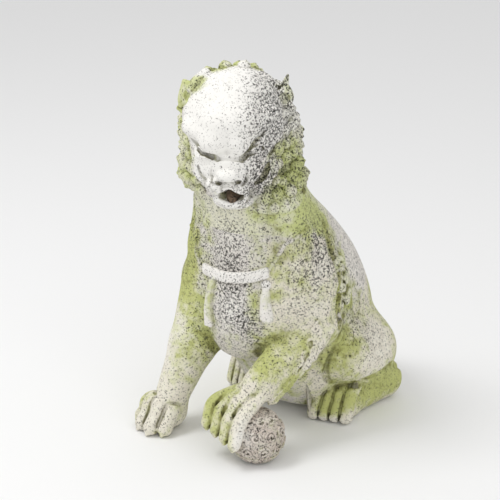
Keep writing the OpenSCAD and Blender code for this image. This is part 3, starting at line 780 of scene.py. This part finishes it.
def colour(code):
    """Linear colour from an sRGB hex code."""
    v = [int(code[i : i + 2], 16) / 255 for i in (1, 3, 5)]
    return tuple(x / 12.92 if x <= 0.04045 else ((x + 0.055) / 1.055) ** 2.4 for x in v) + (1.0,)


def node(tree, kind, settings=None, **inputs):
    """Adds a node, sets its properties, then links or sets its inputs by name or by _number."""
    n = tree.nodes.new(kind)
    for k, v in (settings or {}).items():
        setattr(n, k, v)
    for k, v in inputs.items():
        key = int(k[1:]) if k[0] == "_" and k[1:].isdigit() else k.replace("_", " ")
        socket = n.inputs[key]
        if isinstance(v, bpy.types.NodeSocket):
            tree.links.new(v, socket)
        else:
            socket.default_value = v
    return n


# what a pattern in the stone is like: real size in millimetres, detail and roughness
BROAD_PATCHES = (60, 4.0, 0.6)  # where damp stays
SMUDGES = (14, 4.0, 0.6)
BLOTCHES = (9, 4.0, 0.6)
GRIT = (0.9, 2.0, 0.6)  # sand in the mix, felt rather than seen
SUBTRACT, MULTIPLY = ({"operation": k} for k in ("SUBTRACT", "MULTIPLY"))
MULTIPLY_ADD, ABSOLUTE, LARGER = ({"operation": k} for k in ("MULTIPLY_ADD", "ABSOLUTE", "MAXIMUM"))
SMOOTH_STEP = {"clamp": True, "interpolation_type": "SMOOTHSTEP"}
COLOURS = {"data_type": "RGBA"}


def stone(name, base, light, growth):
    """Cement and crushed stone poured in a mould and left out for years.

    The eye gets a wholly matt surface, paler where rain washes it, with green growth where it
    stays damp, olive and brown painted shade in every hollow, and small air holes and crooked
    hair cracks filled with dark dirt. Real holes are 1.6 to 3 mm across; the finest would not
    show, so all of them are drawn at 3.1 mm.
    """
    hole = 3.1
    m = bpy.data.materials.new(name)
    m.use_nodes = True
    t = m.node_tree
    t.nodes.clear()
    where = node(t, "ShaderNodeTexCoord").outputs["Object"]
    green, pale, pits, hollow, shade = (
        node(t, "ShaderNodeAttribute", {"attribute_name": k}).outputs["Fac"]
        for k in ("green", "pale", "pits", "hollow", "shade")
    )
    broad, middle, blotch, grain, holes, lines, spread = (
        node(
            t, "ShaderNodeTexNoise", Vector=where, Scale=1 / (size * MM), Detail=detail, Roughness=rough
        ).outputs["Fac"]
        for size, detail, rough in (
            BROAD_PATCHES, SMUDGES, BLOTCHES, GRIT,
            (hole, 3.0, 0.7), (hole * 1.4, 1.0, 0.6), (hole * 1.6, 2.0, 0.6),
        )
    )

    # bare stone, and the white skin of cement that rain has bleached
    worn = node(t, "ShaderNodeMapRange", SMOOTH_STEP, Value=middle, From_Min=0.35, From_Max=0.7)
    body = node(t, "ShaderNodeMix", COLOURS, _0=worn.outputs[0], _6=colour(base), _7=colour(light))
    washed = node(t, "ShaderNodeMath", MULTIPLY_ADD, _0=middle, _1=0.3, _2=pale)
    washed = node(t, "ShaderNodeMapRange", SMOOTH_STEP, Value=washed.outputs[0], From_Min=0.35, From_Max=0.95)
    body = node(t, "ShaderNodeMix", COLOURS, _0=washed.outputs[0], _6=body.outputs[2], _7=colour("#F1EFEA"))

    # green film: more in damp patches and hollows
    film = node(t, "ShaderNodeMath", SUBTRACT, _0=broad, _1=0.5)
    film = node(t, "ShaderNodeMath", MULTIPLY_ADD, _0=film.outputs[0], _1=1.7, _2=green)
    uneven = node(t, "ShaderNodeMath", SUBTRACT, _0=middle, _1=0.5)
    film = node(t, "ShaderNodeMath", MULTIPLY_ADD, _0=uneven.outputs[0], _1=1.1, _2=film.outputs[0])
    film = node(t, "ShaderNodeMath", MULTIPLY_ADD, _0=shade, _1=0.25, _2=film.outputs[0])
    film = node(t, "ShaderNodeMapRange", SMOOTH_STEP, Value=film.outputs[0], From_Min=0.25, From_Max=0.9)
    film = film.outputs[0]
    cover = node(t, "ShaderNodeMath", MULTIPLY, _0=film, _1=0.88)
    body = node(t, "ShaderNodeMix", COLOURS, _0=cover.outputs[0], _6=body.outputs[2], _7=colour(growth))

    # olive where the film is old and thick, and olive painted shade in wide hollows from the shade tint
    olive_film_and_shade = node(t, "ShaderNodeMath", SUBTRACT, _0=blotch, _1=0.5)
    olive_film_and_shade = node(t, "ShaderNodeMath", MULTIPLY, _0=olive_film_and_shade.outputs[0], _1=2.4)
    olive_film_and_shade = node(t, "ShaderNodeMath", MULTIPLY_ADD, _0=film, _1=olive_film_and_shade.outputs[0], _2=shade)
    olive_film_and_shade = node(t, "ShaderNodeMath", MULTIPLY_ADD, _0=film, _1=0.16, _2=olive_film_and_shade.outputs[0])
    olive_film_and_shade = node(t, "ShaderNodeMapRange", SMOOTH_STEP, Value=olive_film_and_shade.outputs[0], From_Min=0.30, From_Max=1.0)
    olive_film_and_shade = node(t, "ShaderNodeMath", MULTIPLY, _0=olive_film_and_shade.outputs[0], _1=0.72)
    body = node(t, "ShaderNodeMix", COLOURS, _0=olive_film_and_shade.outputs[0], _6=body.outputs[2], _7=colour("#77743A"))

    # air holes, fewer where damp patches lie
    pitted = node(t, "ShaderNodeMath", SUBTRACT, _0=pits, _1=0.5)
    speck = node(t, "ShaderNodeMath", MULTIPLY_ADD, _0=pitted.outputs[0], _1=0.16, _2=holes)
    dry = node(t, "ShaderNodeMath", SUBTRACT, _0=broad, _1=0.5)
    speck = node(t, "ShaderNodeMath", MULTIPLY_ADD, _0=dry.outputs[0], _1=-0.15, _2=speck.outputs[0])
    speck = node(t, "ShaderNodeMapRange", SMOOTH_STEP, Value=speck.outputs[0], From_Min=0.585, From_Max=0.62)

    # hair cracks: thin lines where one pattern crosses its middle, broken up by another
    off_line = node(t, "ShaderNodeMath", SUBTRACT, _0=lines, _1=0.5)
    off_line = node(t, "ShaderNodeMath", ABSOLUTE, _0=off_line.outputs[0])
    crack = node(t, "ShaderNodeMath", MULTIPLY, _0=pits, _1=0.05)
    crack = node(t, "ShaderNodeMath", SUBTRACT, _0=crack.outputs[0], _1=off_line.outputs[0])
    crack = node(
        t, "ShaderNodeMapRange", SMOOTH_STEP, Value=crack.outputs[0], From_Min=-0.012, From_Max=0.012
    )
    broken = node(t, "ShaderNodeMath", MULTIPLY_ADD, _0=pits, _1=0.16, _2=spread)
    broken = node(t, "ShaderNodeMapRange", SMOOTH_STEP, Value=broken.outputs[0], From_Min=0.60, From_Max=0.68)
    crack = node(t, "ShaderNodeMath", MULTIPLY, _0=crack.outputs[0], _1=broken.outputs[0])
    speck = node(t, "ShaderNodeMath", LARGER, _0=speck.outputs[0], _1=crack.outputs[0])

    # grey dirt over pitted parts, black dirt in the holes, and brown painted shade in deep hollows
    dirt = node(t, "ShaderNodeMath", MULTIPLY, _0=pits, _1=0.5)
    dirt = node(t, "ShaderNodeMath", MULTIPLY_ADD, _0=middle, _1=0.6, _2=dirt.outputs[0])
    dirt = node(t, "ShaderNodeMapRange", SMOOTH_STEP, Value=dirt.outputs[0], From_Min=0.45, From_Max=1.0)
    dirt = node(t, "ShaderNodeMath", MULTIPLY, _0=dirt.outputs[0], _1=0.2)
    body = node(t, "ShaderNodeMix", COLOURS, _0=dirt.outputs[0], _6=body.outputs[2], _7=colour("#9A948A"))
    filled = node(t, "ShaderNodeMath", MULTIPLY, _0=speck.outputs[0], _1=0.95)
    body = node(t, "ShaderNodeMix", COLOURS, _0=filled.outputs[0], _6=body.outputs[2], _7=colour("#221E19"))
    painted_hollow_shade = node(t, "ShaderNodeMapRange", SMOOTH_STEP, Value=hollow, From_Min=0.2, From_Max=0.95)
    painted_hollow_shade = node(t, "ShaderNodeMath", MULTIPLY, _0=painted_hollow_shade.outputs[0], _1=0.8)
    body = node(t, "ShaderNodeMix", COLOURS, _0=painted_hollow_shade.outputs[0], _6=body.outputs[2], _7=colour("#37301C"))

    # the surface itself: holes go in, lumps and grit stand out
    height = node(t, "ShaderNodeMath", MULTIPLY, _0=grain, _1=0.2)
    height = node(t, "ShaderNodeMath", MULTIPLY_ADD, _0=middle, _1=0.6, _2=height.outputs[0])
    height = node(t, "ShaderNodeMath", MULTIPLY_ADD, _0=speck.outputs[0], _1=-0.9, _2=height.outputs[0])
    bump = node(t, "ShaderNodeBump", Strength=0.45, Distance=0.001, Height=height.outputs[0])
    shader = node(
        t, "ShaderNodeBsdfPrincipled", Base_Color=body.outputs[2], Roughness=0.9, Normal=bump.outputs[0]
    )
    node(t, "ShaderNodeOutputMaterial", Surface=shader.outputs[0])
    return m


# bare stone, washed stone and growth of each part of the lion
STONES = {
    # trunk: grey cement, the plain finish
    "body_stone": stone("weathered cast stone", "#D8D3CC", "#EAE6DE", "#AEB55E"),
    # legs: the same mix, yellowed by splashed water
    "leg_stone": stone("cream cast stone with growth", "#E0DACB", "#EEEADB", "#B4BA64"),
    # mane and ears: always damp, so the algae tint even the bare stone
    "mossy_stone": stone("green algae on cast stone", "#DAD8C2", "#E8E6D4", "#BEC678"),
    # face and band: bleached nearly white by rain
    "pale_stone": stone("bleached cast stone", "#E2DDD8", "#F2EFEA", "#C8CE90"),
    # ball: pinker sand shows through
    "ball_stone": stone("pinkish cast stone", "#CBBFB4", "#DDD5CA", "#B2B78A"),
    # tongue: dark brown, painted shade for the inside of the mouth
    "shaded_stone": stone("stone with painted mouth shade", "#6B5440", "#8A715A", "#6B6B2E"),
}

# mild steel bars inside the sections: hot rolled, so dull grey with a soft, broad highlight
steel = bpy.data.materials.new("mild steel bar")
steel.use_nodes = True
steel_shader = steel.node_tree.nodes["Principled BSDF"]
steel_shader.inputs["Base Color"].default_value = colour("#8C8F94")
steel_shader.inputs["Metallic"].default_value = 1.0
steel_shader.inputs["Roughness"].default_value = 0.45
BARS = ["neck_bar", "waist_bar", "foreleg_bar_left", "foreleg_bar_right"]
PINS = ["shoulder_pins", "hip_pins", "ball_pin"]
for bar in BARS + PINS:
    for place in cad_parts[bar].material_slots:
        place.material = steel

# ---- the body, cut into its sections ----


BODY_SECTIONS = [
    ("torso", "body_stone"),
    ("hindquarters", "body_stone"),
    ("neck", "mossy_stone"),
    ("foreleg_left", "leg_stone"),
    ("foreleg_right", "leg_stone"),
    ("hind_leg_left", "leg_stone"),
    ("hind_leg_right", "leg_stone"),
    ("hind_paw_left", "leg_stone"),
    ("hind_paw_right", "leg_stone"),
    ("forepaw_left", "leg_stone"),
    ("forepaw_right", "leg_stone"),
]


def body_section(m):
    """Which of the body's sections each face belongs to."""
    section = {name: k for k, (name, _) in enumerate(BODY_SECTIONS)}
    x, y, z = m.T
    left, right = x > 0, x < 0
    mark = np.full(len(m), section["torso"])
    low = (m - WAIST) @ WAIST_UP < 0
    mark[low] = section["hindquarters"]
    mark[(z > 355) & ~low] = section["neck"]
    haunch = low & (np.abs(x) > 70) & (y > 20)
    mark[haunch & left] = section["hind_leg_left"]
    mark[haunch & right] = section["hind_leg_right"]
    slant = radians(20.5)
    hind_foot = haunch & ((z - 62) * cos(slant) + (y - 60) * sin(slant) < 0)
    mark[hind_foot & left] = section["hind_paw_left"]
    mark[hind_foot & right] = section["hind_paw_right"]
    beside = np.abs(x) > 66
    before = (y < -62) & (z < 160) & (np.abs(x) > 38)
    over_ball = (x > -20) & (y < -100) & (z < 160)
    arm = ~haunch & (z < 345) & (y < 45) & (beside | before | over_ball)
    mark[arm & left] = section["foreleg_left"]
    mark[arm & right] = section["foreleg_right"]
    elbow, wrist = np.array([101, 8, 192.0]), np.array(WRIST_LEFT, float)
    past = (m - wrist) @ (wrist - elbow) > 0
    mark[arm & left & past & (y < -60)] = section["forepaw_left"]
    mark[arm & right & (z < 58)] = section["forepaw_right"]
    return mark


body_clay = Clay((-166, -206, -4), (166, 268, 452), 1.75)
shape_large(body_clay)
shape_head(body_clay)
carve_body(body_clay)
body_clay.slab((-200, -300, 0), (200, 300, 700))
body_clay.half_space(NAPE + NAPE_UP * JOINT_LAP, NAPE_UP)
split_clay(body_clay, body_section, BODY_SECTIONS)

# ---- the head ----


HEAD_SECTIONS = [
    ("head", "pale_stone"),
    ("mane_left", "mossy_stone"),
    ("mane_right", "mossy_stone"),
    ("mane_crown", "mossy_stone"),
    ("lower_jaw", "pale_stone"),
]


def head_section(m):
    """Which of the head's sections each face belongs to."""
    section = {name: k for k, (name, _) in enumerate(HEAD_SECTIONS)}
    x, y, z = ((m - HEAD_MID) @ HEAD_TURN).T
    mark = np.full(len(m), section["head"])
    mark[(y > 6) & (x > 0)] = section["mane_left"]
    mark[(y > 6) & (x <= 0)] = section["mane_right"]
    mark[(y > 6) & (z > 62)] = section["mane_crown"]
    mark[(y < -30) & (np.abs(x) < 40) & (z < -62)] = section["lower_jaw"]
    return mark


head_clay = Clay((-108, -212, 392), (128, 62, 624), 1.25)
shape_large(head_clay)
shape_head(head_clay)
carve_head(head_clay)
head_clay.half_space(NAPE - NAPE_UP * JOINT_LAP, -NAPE_UP)
split_clay(head_clay, head_section, HEAD_SECTIONS)

tongue_clay = Clay(H(-30, -120, -90) - 20, H(30, -60, -40) + 30, 1.0)
tongue_clay.stroke(heads([(2, -64, -67), (2, -78, -67), (3, -86, -68)]), [11, 9, 6], 2)
# the flat hollow tint lays painted shade over the whole tongue
from_clay("tongue", tongue_clay, "shaded_stone", green=0.0, pale=0.0, pits=0.8, hollow=0.45)

for side, word, z in ((1, "left", 7), (-1, "right", 2)):
    eye_clay = Clay(H(side * 37, -66, z) - 20, H(side * 37, -66, z) + 20, 0.9)
    eye_clay.egg(H(side * 37, -66.5, z), (10, 9, 8), 0, HEAD_TURN)
    from_clay("eye_" + word, eye_clay, "pale_stone")

# ears: a pointed shell with a cup in front
ear_right = Clay(H(-80, -14, 72) - 44, H(-80, -14, 72) + 44, 1.0)
ear_right.stroke(heads([(-70, -14, 66), (-74, -14, 80), (-77, -14, 93)]), [14, 10, 3], 3)
ear_right.stroke(heads([(-68, -14, 78), (-72, -10, 58)]), [12, 12], 4)
ear_right.stroke(heads([(-84, -18, 56), (-84, -18, 70), (-78, -15, 93)]), [4, 4, 3.4], 2)
ear_right.stroke(heads([(-62, -20, 84), (-69, -18, 91), (-78, -15, 93)]), [4, 4, 3.4], 2)
ear_right.stroke(heads([(-78, -14, 46), (-89, -12, 49)]), [7, 3.5], 2)
ear_right.egg(H(-73, -29, 76), (6, 8, 11), 2, HEAD_TURN @ turn_y(10), True)
from_clay("ear_right", ear_right, "mossy_stone", green=0.72, pits=0.3)
ear_left = Clay(H(76, 0, 76) - 46, H(76, 0, 76) + 46, 1.0)
ear_left.egg(H(72, 2, 68), (14, 12, 17), 3, HEAD_TURN)
ear_left.stroke(heads([(70, 4, 78), (74, 6, 92), (77, 5, 101)]), [8, 4.5, 2.2], 3)
ear_left.stroke(
    heads([(60, 0, 86), (70, 0, 90), (80, 2, 80), (83, 0, 66), (78, -6, 56)]), [3, 3, 3, 3.4, 3], 2
)
ear_left.egg(H(75, -12, 69), (9, 9, 11), 2, HEAD_TURN, True)
from_clay("ear_left", ear_left, "mossy_stone", green=0.3)

# ---- snail curls of the mane ----


def curl_tree():
    """Geometry nodes: a snail curl on every point, turned along the point's outward direction."""
    t = bpy.data.node_groups.new("snail curls", "GeometryNodeTree")
    sizes = [("Curl radius", "Float"), ("Turns", "Float"), ("Seed", "Int"), ("Stone", "Material")]
    for name, kind in [("Geometry", "Geometry")] + sizes:
        t.interface.new_socket(name, in_out="INPUT", socket_type="NodeSocket" + kind)
    t.interface.new_socket("Geometry", in_out="OUTPUT", socket_type="NodeSocketGeometry")
    given = node(t, "NodeGroupInput").outputs
    # sizes as shares of the curl's radius
    start, end, fall, rope_radius, rise, dome_radius = (
        node(t, "ShaderNodeMath", MULTIPLY, _0=given["Curl radius"], _1=share).outputs[0]
        for share in (0.1, 0.8, -0.7, 0.22, 0.84, 0.98)
    )
    spiral = node(
        t, "GeometryNodeCurveSpiral",
        Resolution=14, Rotations=given["Turns"], Start_Radius=start, End_Radius=end, Height=fall,
    )
    rope = node(t, "GeometryNodeCurvePrimitiveCircle", Resolution=7, Radius=rope_radius)
    coil = node(
        t, "GeometryNodeCurveToMesh", Curve=spiral.outputs[0], Profile_Curve=rope.outputs[0], Fill_Caps=True
    )
    lift = node(t, "ShaderNodeCombineXYZ", Z=rise)
    coil = node(t, "GeometryNodeTransform", Geometry=coil.outputs[0], Translation=lift.outputs[0])
    dome = node(t, "GeometryNodeMeshUVSphere", Segments=14, Rings=8, Radius=dome_radius)
    squash = node(t, "GeometryNodeTransform", Geometry=dome.outputs[0], Scale=(1.0, 1.0, 0.9))
    snail = node(t, "GeometryNodeJoinGeometry")
    t.links.new(coil.outputs[0], snail.inputs[0])
    t.links.new(squash.outputs[0], snail.inputs[0])
    points = node(t, "GeometryNodeMeshToPoints", Mesh=given["Geometry"])
    outward = node(t, "GeometryNodeInputNamedAttribute", {"data_type": "FLOAT_VECTOR"}, Name="outward")
    size = node(t, "GeometryNodeInputNamedAttribute", {"data_type": "FLOAT"}, Name="size")
    aim = node(t, "FunctionNodeAlignRotationToVector", {"axis": "Z"}, Vector=outward.outputs[0])
    spin = node(t, "FunctionNodeRandomValue", {"data_type": "FLOAT"}, _2=-0.7, _3=0.7, Seed=given["Seed"])
    spin = node(t, "FunctionNodeAxisAngleToRotation", Axis=(0.0, 0.0, 1.0), Angle=spin.outputs[1])
    aim = node(
        t, "FunctionNodeRotateRotation", {"rotation_space": "LOCAL"},
        Rotation=aim.outputs[0], Rotate_By=spin.outputs[0],
    )
    placed = node(
        t, "GeometryNodeInstanceOnPoints",
        Points=points.outputs[0], Instance=snail.outputs[0], Rotation=aim.outputs[0], Scale=size.outputs[0],
    )
    solid = node(t, "GeometryNodeRealizeInstances", Geometry=placed.outputs[0])
    solid = node(t, "GeometryNodeSetMaterial", Geometry=solid.outputs[0], Material=given["Stone"])
    out = node(t, "NodeGroupOutput")
    t.links.new(solid.outputs[0], out.inputs[0])
    return t


CURLS = curl_tree()


def curls(name, spots, radius, node_name, seed, turns=1.5):
    """Snail curls on the head's surface at spots given in the head's directions: x, y, z, size."""
    spots = np.asarray(spots, float)
    p, n = head_clay.snap(heads(spots[:, :3]))
    sunk = 0.5
    p = p - n * sunk
    mesh = bpy.data.meshes.new(name + " points")
    mesh.vertices.add(len(p))
    mesh.vertices.foreach_set("co", in_frame(p).astype(np.float32).ravel())
    outward = mesh.attributes.new("outward", "FLOAT_VECTOR", "POINT")
    outward.data.foreach_set("vector", n.astype(np.float32).ravel())
    size = mesh.attributes.new("size", "FLOAT", "POINT")
    size.data.foreach_set("value", spots[:, 3].astype(np.float32))
    o = bpy.data.objects.new(name + " points", mesh)
    bpy.context.collection.objects.link(o)
    grow = o.modifiers.new("curls", "NODES")
    grow.node_group = CURLS
    sockets = {s.name: s.identifier for s in CURLS.interface.items_tree if s.in_out == "INPUT"}
    grow[sockets["Curl radius"]] = radius * MM
    grow[sockets["Turns"]] = turns
    grow[sockets["Seed"]] = seed
    grow[sockets["Stone"]] = STONES["mossy_stone"]
    graph = bpy.context.evaluated_depsgraph_get()
    grown = bpy.data.meshes.new_from_object(o.evaluated_get(graph))
    bpy.data.objects.remove(o)
    co = np.zeros(len(grown.vertices) * 3, np.float32)
    grown.vertices.foreach_get("co", co)
    at = (co.reshape(-1, 3) - ORIGIN) / MM / STRETCH
    nearest = np.argmin(((at[:, None] - p) ** 2).sum(2), axis=1)
    rise = ((at - p[nearest]) * n[nearest]).sum(1) + sunk
    green, pale, pits = paint(at, n[nearest])
    # painted shade: darker towards the foot of each curl, where it sits on the head
    give(grown, "hollow", np.clip(0.5 - rise / (radius * 0.8), 0, 0.5))
    give(grown, "shade", np.clip(0.5 - rise / radius, 0, 0.8))
    give(grown, "green", green)
    give(grown, "pale", pale)
    give(grown, "pits", 0.3 + 0.5 * pits)
    for f in grown.polygons:
        f.use_smooth = True
    grown.name = name
    grown.materials.clear()
    finish_piece(name, grown, node_name, "mossy_stone")


def mane_rows(side):
    """Rows of curls from cheek and ear to the middle of the back of the head."""
    spots = []
    # height of each row, where it starts (degrees round from the nose) and how large its curls are
    rows = [(-92, 42, 0.95), (-69, 40, 1.0), (-46, 43, 1.0), (-23, 47, 1.0)]
    rows += [(0, 54, 1.0), (23, 64, 0.95), (46, 76, 0.9), (64, 104, 0.85)]
    for k, (z, first, size) in enumerate(rows):
        first += 10 if side < 0 else 0
        for a in np.arange(first + (7 if k % 2 else 0), 184, 15):
            r = radians(a)
            grown = size * (0.78 if a < first + 16 else 1.0) * rng.uniform(0.93, 1.05)
            spots.append((side * 94 * sin(r), 6 - 82 * cos(r), z + rng.uniform(-1.5, 1.5), grown))
    return spots


curls("mane_curls_left", mane_rows(1), 13.2, "mane_left", 3)
curls("mane_curls_right", mane_rows(-1), 13.2, "mane_right", 5)
crown = [(-45, 10, 98, 0.95), (-19, 14, 106, 1.0), (9, 14, 108, 1.0)]
for y, row in ((42, (-46, -25, -4, 17)), (62, (-36, -14, 8, 30)), (78, (-24, 0, 24))):
    crown += [(x, y, 92, 0.95) for x in row]
crown += [(-62, 26, 80, 0.9), (-60, 46, 72, 0.9), (58, 34, 76, 0.9), (54, 54, 68, 0.9)]
curls("crown_knobs", crown, 11.0, "mane_crown", 8, 1.4)

# ---- trimmings on the body ----


def on_body(points):
    return body_clay.snap(np.asarray(points, float))


def fitted(points, lift):
    """A smooth line laid on the body and raised by lift."""
    p, n = on_body(curve_through(points, 4))
    return p + n * lift


def clay_round(points, pad, pitch):
    """A fresh block of clay round a line."""
    p = np.asarray(points, float)
    return Clay(p.min(0) - pad, p.max(0) + pad, pitch)


band_points = [(-50, -84, 279), (-40, -88, 277), (-20, -94, 278), (2, -97, 279)]
band_points += [(26, -94, 282), (48, -85, 287), (68, -72, 296)]
band_line = fitted(band_points, 2.0)
band = clay_round(band_line, 18, 1.0)
band.stroke(band_line + (0, 0, 5), 4.4, smooth=False)
band.stroke(band_line + (0, 0, -5), 4.4, 2, smooth=False)
band.stroke(band_line, 4.6, 2, smooth=False)
for k in (2, len(band_line) - 3):
    band.egg(band_line[k], (7, 7, 9), 2)
from_clay("chest_band", band, "pale_stone", green=0.15, pale=0.5, pits=0.45)

for word, line in (
    ("left", [(66, -70, 290), (78, -68, 316), (88, -52, 342), (92, -28, 362)]),
    ("right", [(-58, -78, 276), (-70, -76, 310), (-82, -62, 338)]),
):
    strap_line = fitted(line, 0.6)
    strap = clay_round(strap_line, 12, 1.0)
    strap.stroke(strap_line, 3.2)
    from_clay("strap_" + word, strap, "body_stone")

# a round bell with its slot, and the tassel under it
for side, word, top, drop, wide in (
    (1, "left", (68, -78, 276), 54, 1.0),
    (-1, "right", (-28, -92, 272), 78, 0.7),
):
    top = np.array(top)
    (bell_at,), _ = on_body([top])
    bell = clay_round([bell_at], 20, 0.9)
    bell.egg(bell_at, (8.5, 8, 8.5))
    bell.stroke([bell_at + (-6, -4, 0), bell_at + (6, -4, 0)], 1.2, 1, True)
    from_clay("bell_" + word, bell, "pale_stone", green=0.2, pale=0.6)
    hang = fitted([top + (0, 0, -8), top + (-side, 2, -24), top + (-side * 2, 4, -drop)], 1.5)
    tassel = clay_round(hang, 22, 1.0)
    tassel.stroke(hang, np.linspace(6, 10 * wide, len(hang)), 2, smooth=False)
    for dx in (-6 * wide, -2 * wide, 2 * wide, 6 * wide):
        strand = hang[2:] + np.outer(np.linspace(0.4, 1.25, len(hang) - 2), (dx, 0, 0)) + (0, -5, -2)
        tassel.stroke(strand, 2.8, 0.8, smooth=False)
    from_clay("tassel_" + word, tassel, "body_stone", green=0.32, pits=0.3, pale=0.5)

# scrolled tufts on the flanks
for side, word in ((1, "left"), (-1, "right")):
    scroll = Clay((min(side * 60, side * 160), 20, 150), (max(side * 60, side * 160), 140, 330), 1.2)
    for z0, y0, r0 in ((284, 40, 15), (250, 46, 16), (214, 50, 16)):
        turns = []
        for k in range(15):
            a = 0.2 + k * 0.5
            r = r0 * (1 - k / 17)
            turns.append((side * 116, y0 + r * cos(a), z0 + r * sin(a)))
        tail_line = [(side * 116, y0 + r0 + 6, z0 + 20), (side * 116, y0 + r0 + 2, z0 + 8)]
        line, normal = on_body(curve_through(tail_line + turns, 3))
        scroll.stroke(line + normal * 1.6, np.linspace(6.2, 3.6, len(line)), 1.0, smooth=False)
    from_clay("flank_scroll_" + word, scroll, "mossy_stone", green=0.42, pits=0.6)

# ridge of small locks down the spine
spine = [(0, 112, 346), (0, 140, 318), (0, 170, 282), (0, 196, 244), (0, 216, 204), (0, 228, 176)]
ridge_line = fitted(spine, 0.5)
ridge = clay_round(ridge_line, 16, 1.3)
ridge.stroke(ridge_line, 4.2, 1)
for k in range(1, len(ridge_line) - 2, 3):
    a = ridge_line[k]
    for s in (-1, 1):
        ridge.stroke([a, a + (s * 6, 2, -3), a + (s * 8, 4, -10)], [4, 3.4, 1.6], 1.5)
from_clay("spine_ridge", ridge, "body_stone")

# bushy tail lying up the rump
tail = Clay((-44, 190, 0), (44, 268, 214), 1.4)
for s, wide in ((0, 13), (-1, 10), (1, 10)):
    lock = [(s * 5, 236, 22), (s * 16, 246, 60), (s * 20, 248, 100)]
    lock += [(s * 12, 242, 140), (s * 4, 232, 180 - abs(s) * 14)]
    tail.stroke(lock, [8, wide, wide + 1, wide - 1, 4], 4)
for s in (-1, 1):
    tail.stroke([(s * 26, 244, 60), (s * 34, 246, 80), (s * 26, 248, 96), (s * 22, 250, 84)], [5, 5, 4, 3], 2)
    tail.stroke([(s * 8, 262, 50), (s * 10, 264, 96), (s * 6, 256, 150)], [1.5, 2, 1.5], 2, True)
tail.slab((-200, -300, 0), (200, 258, 700))
from_clay("tail", tail, "body_stone")

# carved ball: four rings of spiral scrolls, each ring turned half a step from the last
def on_ball(lon, lat):
    """A point just above the ball, from degrees round it and up it."""
    a, b = radians(lon), radians(lat)
    return BALL_MID + (BALL_RADIUS + 1) * np.array([cos(b) * sin(a), -cos(b) * cos(a), sin(b)])


ball = Clay(BALL_MID - 50, BALL_MID + 50, 0.9)
ball.egg(BALL_MID, (BALL_RADIUS,) * 3)
for lon in range(-180, 180, 36):
    for row, lat in enumerate((-50, -16, 18, 52)):
        odd = row % 2
        mid = lon + 18 * odd
        wide = 1 / cos(radians(lat))
        spiral = []
        for k in range(16):
            a, r = k * 0.62, 13.5 * (1 - k / 19)
            spiral.append(on_ball(mid + r * wide * cos(a) * (1 if odd else -1), lat + r * sin(a)))
        ball.stroke(spiral, 2.3, 1.2)
ball.slab((-300, -300, 0), (300, 300, 300))
from_clay("ball", ball, "ball_stone", green=0.25, pits=0.6)

# ---- floor, light and camera ----

VIEW_TURN, VIEW_LIFT, VIEW_DISTANCE = 40.0, 20.0, 2.4
LENS = 109.5552  # millimetres, on the usual 36 mm sensor
SHIFT = (-0.018, 0.024)


def camera():
    a, e = radians(VIEW_TURN), radians(VIEW_LIFT)
    back = Vector((sin(a) * cos(e), -cos(a) * cos(e), sin(e)))
    right = Vector((cos(a), sin(a), 0.0))
    up = back.cross(right)
    target = Vector(in_frame((35, -56, 300)))
    data = bpy.data.cameras.new("camera")
    data.lens = LENS
    data.shift_x, data.shift_y = SHIFT
    data.clip_end = 30
    o = bpy.data.objects.new("camera", data)
    bpy.context.collection.objects.link(o)
    turn = Matrix((right, up, back)).transposed().to_4x4()
    o.matrix_world = Matrix.Translation(target + back * VIEW_DISTANCE) @ turn
    bpy.context.scene.camera = o


def area_light(name, place, aim, size, power):
    data = bpy.data.lights.new(name, "AREA")
    data.energy, data.size = power, size
    o = bpy.data.objects.new(name, data)
    o.location = place
    o.rotation_euler = (Vector(place) - Vector(aim)).to_track_quat("Z", "Y").to_euler()
    bpy.context.collection.objects.link(o)


camera()
bpy.ops.mesh.primitive_plane_add(size=12, location=(0, 0, -0.0005))
floor = bpy.context.object
floor.name = "floor"
white = bpy.data.materials.new("pale floor")
white.use_nodes = True
white.node_tree.nodes["Principled BSDF"].inputs["Base Color"].default_value = colour("#F4F4F4")
white.node_tree.nodes["Principled BSDF"].inputs["Roughness"].default_value = 0.9
floor.data.materials.append(white)
area_light("key", (-0.9, -1.3, 2.9), (0, 0, 0.3), 1.1, 34)
area_light("fill", (2.2, -1.2, 1.8), (0, 0, 0.3), 2.2, 12)
world = bpy.data.worlds.new("studio")
bpy.context.scene.world = world
world.use_nodes = True
world.node_tree.nodes["Background"].inputs[0].default_value = (1, 1, 1, 1)
world.node_tree.nodes["Background"].inputs[1].default_value = 0.72
bpy.context.scene.view_settings.view_transform = "Standard"
